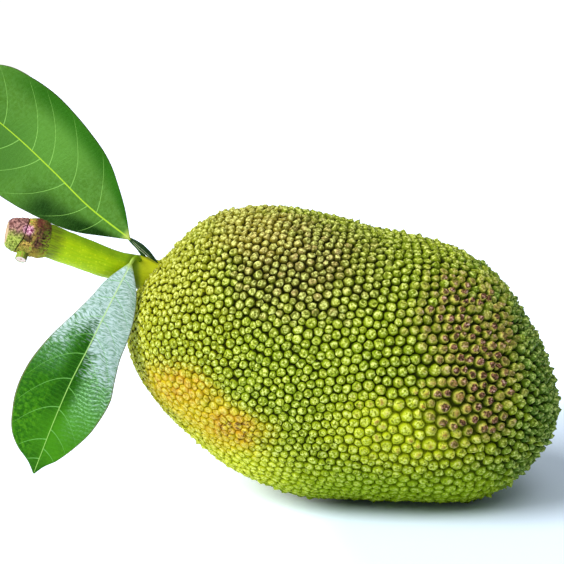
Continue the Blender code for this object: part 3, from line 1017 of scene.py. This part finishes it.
def makeLeaf(leaf, name, node, material):
    line, run, (left, right), share = leafCurve(leaf)
    across, normal = lineFrame(line, leaf["facing"])
    v = np.linspace(-1, 1, leafWork["columns"] + 1)
    blade = smooth(0.0, leafWork["bladeStart"], share)[:, None]
    side = (1 - blade) * np.sin(v * math.pi / 2) + blade * np.sign(v) * np.abs(v) ** leafWork["crowding"]
    half = np.where(side > 0, right[:, None], left[:, None])
    off = side * half
    runs = np.broadcast_to(run[:, None], off.shape)
    leftPhase, leftGap = veinPhase(leaf, "left", runs, off)
    rightPhase, rightGap = veinPhase(leaf, "right", runs, off)
    phase = np.where(off > 0, rightPhase, leftPhase)
    nearVein = np.abs(phase - np.round(phase))
    ladder = runs + leafWork["ladderSlope"] * np.abs(off) + 0.00022 * np.sin(off / 0.0045)
    ladder = ladder + 0.00025 * np.sin(runs / 0.0062 + off / 0.003)
    ladder = ladder + 0.0011 * np.sin(phase * 5.1) * np.sin(runs / 0.0171 + off / 0.012)
    edge = np.abs(side)
    full = blade * smooth(0.02, 0.2, edge) * (1 - edge ** 6)
    quilt = leaf["quilt"] * np.sin(math.pi * np.abs(phase - np.floor(phase))) ** 0.75 * full
    crossVeins = np.sin(2 * math.pi * ladder / leafWork["ladder"])
    quilt = quilt + leaf["ripple"] * crossVeins * full * smooth(0.02, 0.14, nearVein)
    margin = np.sin(runs / 0.0085 + 2.0 * side) * blade * smooth(0.0, 0.2, share)[:, None]
    quilt = quilt + leaf["wave"] * edge ** 3 * margin
    sag = leaf["droop"] * side * side * half / (max(*leaf["left"], *leaf["right"]) / 1000)
    stemHeight = leafWork["stemRadius"] * np.cos(v * math.pi / 2)
    sheet = leafWork["thickness"] / 2 * np.sqrt(np.clip(1 - edge ** 8, 0, 1))
    topRidge = leafWork["topRidge"] * np.exp(-(off / leafWork["topRidgeWidth"]) ** 2)
    atBase, atTip = leafWork["underRidge"]
    keel = (atBase + share * (atTip - atBase))[:, None] * np.exp(-(off / leafWork["underRidgeWidth"]) ** 2)
    sideRidges = leafWork["sideRidge"] * np.exp(-(nearVein / leafWork["sideRidgeWidth"]) ** 2) * full
    above = (1 - blade) * stemHeight + blade * (sheet + topRidge)
    below = (1 - blade) * stemHeight + blade * (sheet + keel + sideRidges)
    middle = line[:, None] + across[:, None] * off[..., None] + normal[:, None] * (quilt - sag)[..., None]
    top = middle + normal[:, None] * above[..., None]
    under = middle - normal[:, None] * below[..., None]
    values = {
        "off": off, "run": runs, "edge": edge * blade, "ladder": ladder, "share": share[:, None],
        "blade": blade, "leftPhase": leftPhase, "rightPhase": rightPhase,
        "leftGap": leftGap, "rightGap": rightGap,
    }
    for key, value in values.items():
        value = np.broadcast_to(value, off.shape)
        values[key] = np.concatenate([value, value[:, -2:0:-1]], axis=1)
    values["underneath"] = np.concatenate([np.zeros(off.shape), np.ones(off[:, 2:].shape)], axis=1)
    obj = sweep(name, np.concatenate([top, under[:, -2:0:-1]], axis=1), values)
    finishPiece(obj, node, material)


def makeVeinGroup():
    # midrib, side veins, the small cross veins between them and the finest net
    given = {"Place": (0.0, 0.0, 0.0), "Off": 0.0, "Share": 0.0, "Edge": 0.0, "Ladder": 0.0}
    given.update({"Phase": 0.5, "Gap": 0.02, "Midrib Base": 0.0012, "Midrib Tip": 0.0004})
    tree, given, result = newGroup("veins", given, ["Midrib", "Side", "Cross", "Net"])
    wide = mapped(given["Share"], 0.0, 0.9, given["Midrib Base"], given["Midrib Tip"], kind="LINEAR")
    away = calc("DIVIDE", calc("ABSOLUTE", given["Off"]), wide)
    plug(result["Midrib"], mapped(away, 0.55, 1.05, 1.0, 0.0))
    near = calc("ABSOLUTE", calc("SUBTRACT", given["Phase"], calc("ROUND", given["Phase"])))
    thin = mapped(given["Edge"], 0.0, 0.95, 0.00046, 0.00018, kind="LINEAR")
    line = mapped(calc("DIVIDE", times(near, given["Gap"]), thin), 0.4, 1.15, 1.0, 0.0)
    plug(result["Side"], times(line, mapped(given["Edge"], 0.84, 1.0, 1.0, 0.0)))
    wobble = calc("MULTIPLY_ADD", clouds(given["Place"], 0.006, 2.0), 0.0022, given["Ladder"])
    beat = calc("PINGPONG", calc("DIVIDE", wobble, leafWork["ladder"]), 0.5)
    plug(result["Cross"], mapped(beat, 0.04, 0.2, 1.0, 0.0))
    inputs = {"Vector": given["Place"], "Scale": 1100.0}
    cells = join("ShaderNodeTexVoronoi", inputs, feature="DISTANCE_TO_EDGE").outputs["Distance"]
    plug(result["Net"], mapped(cells, 0.02, 0.16, 1.0, 0.0))
    return tree


veinGroup = makeVeinGroup()


def leafVeins(tree, leaf, place):
    names = ("off", "share", "edge", "ladder", "leftPhase", "rightPhase", "leftGap", "rightGap")
    off, share, edge, ladder, leftPhase, rightPhase, leftGap, rightGap = read(tree, *names)
    onRight = calc("GREATER_THAN", off, 0.0)
    base, tip = leaf["midribWidth"]
    values = {"Place": place, "Off": off, "Share": share, "Edge": edge, "Ladder": ladder}
    values.update({"Phase": mixed(onRight, leftPhase, rightPhase), "Gap": mixed(onRight, leftGap, rightGap)})
    return useGroup(veinGroup, {**values, "Midrib Base": base, "Midrib Tip": tip})


def upperLeafMaterial():
    material, tree, skin, place = newMaterial("upperLeafSkin", 0.45, 0.03)
    veins = leafVeins(tree, upperLeaf, place)
    off, share, run, edge, blade, under = read(tree, "off", "share", "run", "edge", "blade", "underneath")
    light = patch(place, (-0.245, 0.03, 0.262), (0.05, 0.06, 0.022), 0.6, 0.8)
    dull = patch(place, (-0.296, 0.03, 0.256), (0.03, 0.06, 0.024), 0.7, 0.8)
    cloud = mapped(clouds(place, 0.018, 2.0), 0.25, 0.6, 0.8, 1.0)
    shaded = times(mapped(off, 0.001, 0.01), mapped(edge, 0.2, 0.72), mapped(share, 0.48, 0.32), cloud)
    rim = times(mapped(off, -0.003, -0.01), mapped(edge, 0.5, 0.9), mapped(share, 0.9, 0.6))
    colour = layered(
        blended(clouds(place, 0.03), (0.046, 0.148, 0.01), (0.084, 0.202, 0.022)),
        (mapped(clouds(place, 0.009), 0.36, 0.64, 0.0, 0.6), (0.062, 0.164, 0.016)),
        (mapped(clouds(place, 0.0024), 0.35, 0.65, 0.0, 0.6), (0.096, 0.24, 0.04)),
        (light, 0.6, (0.1, 0.27, 0.034)),
        (dull, 0.8, (0.048, 0.142, 0.017)),
        (rim, 0.95, (0.016, 0.108, 0.001)),
        (shaded, (0.004, 0.024, 0.001)),
        (veins["Net"], 0.14, (0.1, 0.29, 0.06)),
        (veins["Cross"], 0.03, (0.1, 0.3, 0.06)),
        (veins["Side"], 0.85, (0.22, 0.46, 0.09)),
        (under, 0.6, (0.13, 0.26, 0.08)),
        (mapped(edge, 0.965, 0.995), 0.6, (0.1, 0.16, 0.03)),
        (veins["Midrib"], (0.35, 0.56, 0.03)),
    )
    # painted shade: the leaf stem darkens away from the blade, where it runs in shade behind the young leaf
    stem = blended(mapped(run, -0.003, -0.0006), (0.018, 0.06, 0.012), (0.42, 0.52, 0.1))
    plug(skin["Roughness"], mapped(under, 0.0, 1.0, 0.42, 0.62, kind="LINEAR"))
    height = calc("MULTIPLY_ADD", veins["Net"], -0.35, times(veins["Side"], -0.7))
    height = calc("MULTIPLY_ADD", veins["Cross"], -0.4, height)
    finishSkin(skin, blended(blade, stem, colour), height, 0.00012)
    return material


def lowerLeafMaterial():
    material, tree, skin, place = newMaterial("lowerLeafSkin", 0.38, 0.03)
    veins = leafVeins(tree, lowerLeaf, place)
    off, run, edge, ladder, blade, under = read(tree, "off", "run", "edge", "ladder", "blade", "underneath")
    # painted shade: darker green in the fold along the midrib
    foldShade = mapped(calc("ABSOLUTE", calc("ADD", off, 0.001)), 0.001, 0.0145, 1.0, 0.0)
    fresh = patch(place, (-0.225, -0.072, 0.056), (0.026, 0.03, 0.024), 0.6, 0.8)
    green = layered(
        blended(clouds(place, 0.022), (0.014, 0.092, 0.001), (0.04, 0.165, 0.003)),
        (mapped(clouds(place, 0.0038, 4.0), 0.42, 0.56, 0.0, 0.9), (0.009, 0.064, 0.001)),
        (mapped(clouds(place, 0.0025), 0.5, 0.6, 0.0, 0.6), (0.064, 0.22, 0.006)),
        (mapped(run, 0.135, 0.095), 0.5, (0.008, 0.065, 0.001)),
        (foldShade, 0.8, (0.006, 0.046, 0.001)),
        (veins["Net"], 0.18, (0.05, 0.26, 0.02)),
        (veins["Cross"], 0.14, (0.06, 0.28, 0.02)),
        (fresh, 0.7, (0.06, 0.25, 0.008)),
    )

    # painted reflection: the pale sheen on the upper half, drawn out into streaks along the cross veins
    wave = calc("SINE", calc("DIVIDE", ladder, leafWork["ladder"] / (2 * math.pi)))
    flow = join("ShaderNodeCombineXYZ", {0: ladder, 2: off}).outputs[0]
    streaks = fibres(flow, 0.0011, 4.0, 0.38, 0.62)
    fineStreaks = fibres(flow, 0.0007, 2.5, 0.42, 0.62)
    leftLimit = mapped(off, -0.024, -0.002, 0.074, 0.05, kind="LINEAR")
    rightLimit = mapped(off, 0.0, 0.022, 0.076, 0.094, kind="LINEAR")
    reach = calc("SUBTRACT", mixed(mapped(off, -0.002, 0.002), leftLimit, rightLimit), run)
    reach = calc("MULTIPLY_ADD", wave, 0.002, reach)
    reach = calc("MULTIPLY_ADD", calc("SUBTRACT", streaks, 0.6), 0.014, reach)
    reach = calc("MULTIPLY_ADD", calc("SUBTRACT", clouds(place, 0.01, 4.0), 0.5), 0.05, reach)
    paintedSheen = layered(
        blended(streaks, (0.15, 0.27, 0.19), (0.39, 0.51, 0.5)),
        (fineStreaks, 0.35, (0.56, 0.72, 0.7)),
        (mapped(wave, -0.55, -1.0, 0.0, 0.22), (0.11, 0.24, 0.15)),
    )
    # painted sheen, in lighter green, beside the midrib and on the left half
    glow = times(mapped(off, 0.003, 0.012), mapped(run, 0.15, 0.105))
    lines = times(mapped(wave, -0.3, 0.9, 0.35, 1.0), mapped(fineStreaks, 0.0, 1.0, 0.25, 1.0))
    leftGlow = times(mapped(off, -0.006, -0.016), mapped(run, 0.104, 0.08), lines)
    rib = blended(mapped(run, 0.02, 0.1), (0.4, 0.56, 0.28), (0.26, 0.48, 0.1))
    colour = layered(
        green,
        (glow, lines, mapped(run, 0.145, 0.1, 0.55, 1.0), (0.26, 0.56, 0.23)),
        (leftGlow, 0.7, (0.17, 0.38, 0.18)),
        (mapped(reach, -0.014, 0.016), paintedSheen),
        (veins["Side"], 0.7, (0.16, 0.42, 0.09)),
        (under, 0.7, (0.12, 0.26, 0.07)),
        (mapped(edge, 0.955, 0.99), 0.7, (0.2, 0.19, 0.07)),
        (veins["Midrib"], rib),
    )
    stem = blended(mapped(run, -0.006, -0.002), (0.16, 0.28, 0.008), (0.3, 0.42, 0.07))
    plug(skin["Roughness"], mapped(under, 0.0, 1.0, 0.34, 0.6, kind="LINEAR"))
    height = calc("MULTIPLY_ADD", veins["Net"], -0.4, times(veins["Side"], -0.8))
    height = calc("MULTIPLY_ADD", wave, 0.35, height)
    finishSkin(skin, blended(blade, stem, colour), height, 0.00015)
    return material


makeLeaf(upperLeaf, "upperLeaf", "upper_leaf", upperLeafMaterial())
makeLeaf(lowerLeaf, "lowerLeaf", "lower_leaf", lowerLeafMaterial())


# stalk: green, with fine fibres along it, from inside the collar into the fruit

stalk = {
    "seed": 21,
    "path": (
        (-0.251, -0.0255, 0.196), (-0.2318, -0.016, 0.1871), (-0.2111, -0.006, 0.177),
        (-0.1969, 0.002, 0.171), (-0.1824, 0.008, 0.166), (-0.1642, 0.012, 0.1575),
    ),
    "radii": (0.0122, 0.0118, 0.0111, 0.011, 0.0126, 0.0142),
    "intoFruit": 0.008,
    "rows": 170,
    "columns": 144,
    "endRows": 12,  # inside the fruit
    "endTaper": 0.25,
    "fibre": 0.00007,  # height of the fibres in metres
    "fibreRows": 12,
    "swell": 0.00045,
    "underLeaf": (-0.1868, 0.0, 0.164),  # the place that the lower leaf shades
}


def makeStalk(material):
    rng = np.random.default_rng(stalk["seed"])
    share = np.linspace(0, 1, stalk["rows"])
    line = along(stalk["path"], share)
    steps = np.linspace(0, 1, stalk["endRows"] + 1)[1:, None]
    line = np.concatenate([line, line[-1] + units(line[-1] - line[-2]) * steps * stalk["intoFruit"]])
    radius = along(stalk["radii"], share)
    radius = np.concatenate([radius, radius[-1] * (1 - stalk["endTaper"] * steps[:, 0] ** 2)])
    run = travelled(line)
    angle = around(stalk["columns"])
    spoke = spokes(*lineFrame(line, (0.0, -1.0, 0.0)), angle)
    fibre = along(rng.normal(size=(stalk["fibreRows"], len(angle))), run / run[-1])
    smoothed = (fibre + np.roll(fibre, 1, axis=1) * 0.6 + np.roll(fibre, -1, axis=1) * 0.6) / 1.6
    plain = line[:, None] + spoke * radius[:, None, None]
    lift = stalk["fibre"] * smoothed + stalk["swell"] * lumps(plain, 0.011, 2)
    grain = roundGrain(angle, radius[:, None], run)
    obj = sweep("stalk", plain + spoke * lift[..., None], {"grain": grain, "run": run[:, None]})
    finishPiece(obj, "stalk", material)


def stalkMaterial():
    material, tree, skin, place = newMaterial("greenStalk", 0.5, 0.12)
    grain, run = readVector(tree, "grain"), read(tree, "run")
    dots = join("ShaderNodeTexVoronoi", {"Vector": grain, "Scale": 420.0}).outputs["Distance"]
    level = calc("MULTIPLY_ADD", run, 0.44, axisOf(place, "Z"))  # the same all along the sloping stalk
    browningAndShade = mapped(run, 0.0175, 0.0065)
    colour = layered(
        blended(clouds(place, 0.012), (0.25, 0.43, 0.0), (0.35, 0.52, 0.0)),
        (fibres(grain, 0.0012, 9.0), 0.45, (0.46, 0.56, 0.004)),
        (mapped(dots, 0.14, 0.4, 1.0, 0.0), 0.55, (0.58, 0.68, 0.01)),
        # painted shade: the stalk's top is darker green
        (mapped(level, 0.2, 0.206), 0.65, (0.1, 0.24, 0.004)),
        (mapped(run, 0.068, 0.082), 0.85, (0.47, 0.5, 0.006)),
        (fibres(grain, 0.0007, 16.0, 0.44, 0.6), browningAndShade, 0.65, (0.08, 0.05, 0.008)),
        # painted shade: dark green over the stalk's start by the collar, where the leaf shades it, besides
        # the brown fibres
        (browningAndShade, 0.6, (0.08, 0.12, 0.004)),
        # painted shadow of the lower leaf on the stalk
        (patch(place, stalk["underLeaf"], (0.005, 0.02, 0.02), 0.5, 0.2), 0.85, (0.04, 0.08, 0.001)),
    )
    finishSkin(skin, colour, fibres(grain, 0.0004, 12.0), 0.00006)
    return material


makeStalk(stalkMaterial())


# collar: the corky end of the branch, with a crack round its cut face

collar = {
    "seed": 5,
    "start": (-0.2468, -0.024, 0.1944),
    "end": (-0.2758, -0.032, 0.2014),
    "length": 0.03,
    "profile": (
        (0.0, 0.0122), (0.0015, 0.0128), (0.003, 0.0136), (0.0085, 0.0142), (0.014, 0.0135),
        (0.0172, 0.013), (0.019, 0.0128), (0.024, 0.0122), (0.0275, 0.0111), (0.0292, 0.01), (0.03, 0.0088),
    ),  # metres along it, and its radius there
    "crown": 0.0008,
    "lip": (0.8, 0.9, 0.97),  # radii of the drawn-in start, as shares
    "rows": 150,
    "faceRows": 34,
    "columns": 176,
    "crack": 0.0196,
    "crackTilt": 0.0034,
    "crackWidth": 0.00036,
    "crackDepth": 0.0016,
    "crackWander": 0.0008,
    "cork": 0.00105,  # heights of its lumps, grain and hairs
    "grain": 0.00022,
    "hair": 0.00016,
    "faceCork": 0.00025,
    "faceGrain": 0.0001,
    "scar": (-0.258, -0.0388, 0.2038),
    "scarDepth": 0.0009,
    "hollow": (-0.2586, -0.0403, 0.1979),
    "stub": (-0.264, -0.036, 0.189),
}


def makeCollar(material):
    rng = np.random.default_rng(collar["seed"])
    run = np.linspace(0, collar["length"], collar["rows"])
    radius = softened(np.interp(run, *np.array(collar["profile"]).T))
    face = np.linspace(1, 0.02, collar["faceRows"] + 1)[1:]
    lip = np.array(collar["lip"])
    radius = np.concatenate([radius[0] * lip, radius, radius[-1] * face])
    run = np.concatenate([0 * lip, run, collar["length"] + collar["crown"] * (1 - face * face)])
    onFace = np.concatenate([np.zeros(len(lip) + collar["rows"]), 1 - face])
    start, _, forward, across, normal = stemFrame(collar)
    angle = around(collar["columns"])
    spoke = spokes(across, normal, angle)
    centre = start + forward * run[:, None]
    plain = centre[:, None] + spoke * radius[:, None, None]
    body = (1 - onFace)[:, None] * np.ones(len(angle))
    runs = run[:, None] + 0 * angle
    wander = collar["crackWander"] * lumps(centre[:1, None] + spoke * 0.013, 0.009, 2)
    crackAt = collar["crack"] + wander + collar["crackTilt"] * np.cos(angle)  # further out on the underside
    gap = np.exp(-((runs - crackAt) / collar["crackWidth"]) ** 2) * body
    cork = lumps(plain, 0.0062, 4) + 0.55 * (0.5 - np.abs(lumps(plain + 0.7, 0.0034, 3)))
    grain = lumps(plain, 0.001, 2)
    hair = along(rng.normal(size=(7, len(angle))), run / collar["length"])
    button = smooth(0.0, 0.003, runs - crackAt)
    scar = np.exp(-(lengths(plain - np.array(collar["scar"])) / 0.003) ** 2)
    ease = smooth(0.0, 0.0035, runs) * (1 - 0.6 * button)
    lift = collar["cork"] * cork * ease + collar["grain"] * grain * (1 - 0.5 * button)
    lift = lift + collar["hair"] * hair * smooth(0.013, 0.001, runs) * body
    lift = lift - collar["crackDepth"] * gap - collar["scarDepth"] * scar
    rings = plain + spoke * (lift * body)[..., None]
    faceLift = (collar["faceCork"] * cork + collar["faceGrain"] * grain) * onFace[:, None]
    rings = rings + forward * faceLift[..., None]
    values = {
        "grain": roundGrain(angle, radius[:, None], run), "run": runs, "crack": gap, "lift": cork,
        "face": onFace[:, None], "button": smooth(0.0, 0.0006, runs - crackAt),
    }
    finishPiece(sweep("collar", rings, values), "branch_collar", material)


def collarMaterial():
    material, tree, skin, place = newMaterial("corkyBark", 0.75, 0.12)
    grain = readVector(tree, "grain")
    run, lift, button, face, crack = read(tree, "run", "lift", "button", "face", "crack")
    level = calc("MULTIPLY_ADD", run, -0.23, axisOf(place, "Z"))  # height over the collar's sloping axis
    speckle = clouds(place, 0.0017, 3.0, 0.7)
    blotch = clouds(place, 0.0042)
    low = mapped(calc("MULTIPLY_ADD", blotch, 0.006, level), 0.193, 0.185)
    cork = layered(
        blended(mapped(speckle, 0.42, 0.62), (0.016, 0.006, 0.003), (0.14, 0.054, 0.032)),
        (mapped(blotch, 0.52, 0.68), (0.13, 0.03, 0.026)),
        (mapped(clouds(place, 0.0028), 0.5, 0.62, 0.0, 0.6), (0.15, 0.135, 0.018)),
        (low, 0.7, (0.4, 0.31, 0.03)),
        (mapped(level, 0.2, 0.206), 0.6, (0.12, 0.022, 0.016)),
    )
    ochre = blended(mapped(speckle, 0.38, 0.62), (0.09, 0.055, 0.008), (0.6, 0.4, 0.08))
    ochre = layered(ochre, (mapped(clouds(place, 0.003), 0.54, 0.62), (0.33, 0.4, 0.04)))
    pink = blended(mapped(speckle, 0.42, 0.6), (0.095, 0.036, 0.034), (0.44, 0.22, 0.19))
    lime = blended(mapped(speckle, 0.4, 0.6), (0.11, 0.15, 0.014), (0.41, 0.48, 0.08))
    turn = mapped(calc("MULTIPLY_ADD", blotch, 0.008, level), 0.204, 0.196)
    rings = mapped(yearRings(grain, 260.0, 3.0), 0.2, 0.8)
    mauve = blended(mapped(speckle, 0.4, 0.6), (0.15, 0.01, 0.06), (0.66, 0.34, 0.43))
    moss = blended(mapped(level, 0.19, 0.204), (0.23, 0.33, 0.012), (0.055, 0.09, 0.006))
    colour = layered(
        cork,
        (mapped(run, 0.0095, 0.0135), mapped(blotch, 0.34, 0.5, 0.35, 1.0), ochre),
        (button, blended(turn, pink, lime)),
        (mapped(face, 0.1, 0.22), blended(rings, (0.42, 0.26, 0.13), (0.64, 0.48, 0.29))),
        (patch(place, collar["scar"], (0.0034, 0.004, 0.0042), 0.5, 0.5), mauve),
        # painted shade in the hollow beside the stub
        (patch(place, collar["hollow"], (0.0038, 0.005, 0.0024), 0.6, 0.8), 0.85, (0.03, 0.012, 0.01)),
        # painted shade: darker in the low parts between the cork's lumps
        (mapped(lift, -0.15, -0.75), 0.5, (0.09, 0.026, 0.016)),
        (fibres(grain, 0.0008, 14.0, 0.44, 0.58), mapped(run, 0.01, 0.0015), moss),
        (patch(place, collar["stub"], (0.0062, 0.006, 0.0056), 0.25, 0.2), 0.5, (0.24, 0.26, 0.03)),
        (mapped(crack, 0.25, 0.8), (0.02, 0.009, 0.006)),
    )
    finishSkin(skin, colour, speckle, 0.00045)
    return material


makeCollar(collarMaterial())


# stub: a green side shoot cut off short under the collar

stub = {
    "start": (-0.2625, -0.03, 0.192),
    "end": (-0.2646, -0.0378, 0.1822),
    "radii": (0.0046, 0.0043, 0.0041, 0.0041, 0.004),
    "rows": 54,
    "faceRows": 18,
    "columns": 84,
    "hollow": 0.0005,
    "lumps": 0.0003,
    "faceGrain": 0.00018,
}


def makeStub(material):
    share = np.linspace(0, 1, stub["rows"])
    radius = along(stub["radii"], share)
    face = np.linspace(1, 0.03, stub["faceRows"] + 1)[1:]
    radius = np.concatenate([radius, radius[-1] * face])
    start, long, forward, across, normal = stemFrame(stub)
    run = np.concatenate([share * long, long - stub["hollow"] * (1 - face ** 4)])
    onFace = np.concatenate([share * 0, 1 - face])[:, None]
    angle = around(stub["columns"])
    spoke = spokes(across, normal, angle)
    plain = start + forward * run[:, None, None] + spoke * radius[:, None, None]
    lift = stub["lumps"] * lumps(plain, 0.0032, 3) * (1 - onFace)
    rings = plain + spoke * lift[..., None]
    rings = rings + forward * (stub["faceGrain"] * lumps(plain, 0.0011, 2) * onFace)[..., None]
    values = {"grain": roundGrain(angle, radius[:, None], run), "run": run[:, None], "face": onFace}
    finishPiece(sweep("stub", rings, values), "side_stub", material)


def stubMaterial():
    material, tree, skin, place = newMaterial("cutTwig", 0.55, 0.12)
    grain = readVector(tree, "grain")
    run, face = read(tree, "run", "face")
    speckle = clouds(place, 0.0009, 4.0, 0.65)
    side = calc("MULTIPLY_ADD", run, 0.16, axisOf(place, "X"))
    rings = mapped(yearRings(grain, 520.0, 4.0), 0.1, 0.9)
    wood = blended(rings, (0.56, 0.4, 0.34), (0.82, 0.69, 0.62))
    colour = layered(
        blended(mapped(speckle, 0.35, 0.65), (0.12, 0.25, 0.012), (0.33, 0.48, 0.04)),
        # painted shade: the stub's right side, away from the light, is darker
        (mapped(side, -0.2615, -0.259), 0.85, (0.016, 0.04, 0.006)),
        (fibres(grain, 0.0009, 5.0, 0.5, 0.66), 0.6, (0.3, 0.17, 0.05)),
        (mapped(run, 0.0128, 0.0142), (0.23, 0.08, 0.05)),
        (mapped(face, 0.06, 0.18), layered(wood, (mapped(face, 0.7, 0.9), (0.3, 0.15, 0.09)))),
    )
    finishSkin(skin, colour, speckle, 0.0002)
    return material


makeStub(stubMaterial())


# young leaf: still folded along its midrib, its dark green darkened to near black as painted shade

youngLeaf = {
    "start": (-0.169, 0.002, 0.174),
    "end": (-0.1908, 0.006, 0.193),
    "width": 0.005,
    "thickness": 0.0034,
    "bow": 0.0005,
    "rows": 120,
    "columns": 96,
    "slit": 0.95,  # angle of the line where the two halves meet
    "slitDepth": 0.3,
    "lipHeight": 0.16,  # of the margins beside it
    "ripple": 0.035,
    "widths": ((0, 0.16), (0.12, 0.42), (0.35, 0.88), (0.6, 1.0), (0.82, 0.62), (0.94, 0.24), (1.0, 0.05)),
}


def makeYoungLeaf(material):
    share = np.linspace(0.0, 1.0, youngLeaf["rows"])
    start, long, forward, across, normal = stemFrame(youngLeaf)  # across is towards the lower left
    bow = youngLeaf["bow"] * np.sin(math.pi * share)
    line = start + forward * (long * share)[:, None] - across * bow[:, None]
    wide = softened(np.interp(share, *np.array(youngLeaf["widths"]).T))
    angle = around(youngLeaf["columns"])
    # both halves bulge, and a slit runs along where their margins meet
    gap = (angle - youngLeaf["slit"] + math.pi) % (2 * math.pi) - math.pi
    lips = youngLeaf["lipHeight"] * np.exp(-((np.abs(gap) - 0.42) / 0.2) ** 2)
    notch = youngLeaf["slitDepth"] * np.exp(-(gap / 0.16) ** 2) - lips
    ripple = np.sin(share * 62 + 1.6 * np.sin(angle)[:, None]).T * np.abs(np.sin(angle))
    size = wide[:, None] * (1 - notch * smooth(0.05, 0.3, share)[:, None])
    size = size * (1 + youngLeaf["ripple"] * ripple)
    flat = across * (np.cos(angle) * size * youngLeaf["width"] / 2)[..., None]
    deep = normal * (np.sin(angle) * size * youngLeaf["thickness"] / 2)[..., None]
    grain = roundGrain(angle, size * 0.004, travelled(line))
    values = {"grain": grain, "slit": np.abs(gap)[None], "share": share[:, None]}
    finishPiece(sweep("youngLeaf", line[:, None] + flat + deep, values), "young_leaf", material)


def youngLeafMaterial():
    material, tree, skin, place = newMaterial("youngLeafSkin", 0.4, 0.08)
    grain = readVector(tree, "grain")
    slit, share = read(tree, "slit", "share")
    margin = times(mapped(slit, 0.18, 0.28), mapped(slit, 0.5, 0.36), mapped(share, 0.18, 0.34))
    colour = layered(
        # painted shade: the leaf's dark green is made near black
        blended(clouds(place, 0.004), (0.003, 0.011, 0.004), (0.008, 0.03, 0.007)),
        (fibres(grain, 0.0006, 6.0), 0.25, (0.05, 0.13, 0.03)),
        # pale stripe on the lips beside the slit: partly their own paler colour, partly a painted highlight
        (margin, mapped(share, 0.92, 0.75), 0.8, (0.42, 0.52, 0.3)),
        # painted shade in the slit between the halves
        (mapped(slit, 0.16, 0.05), (0.006, 0.02, 0.004)),
        (mapped(share, 0.9, 0.98), 0.8, (0.2, 0.24, 0.04)),
    )
    finishSkin(skin, colour, fibres(grain, 0.0004, 5.0), 0.0001)
    return material


makeYoungLeaf(youngLeafMaterial())
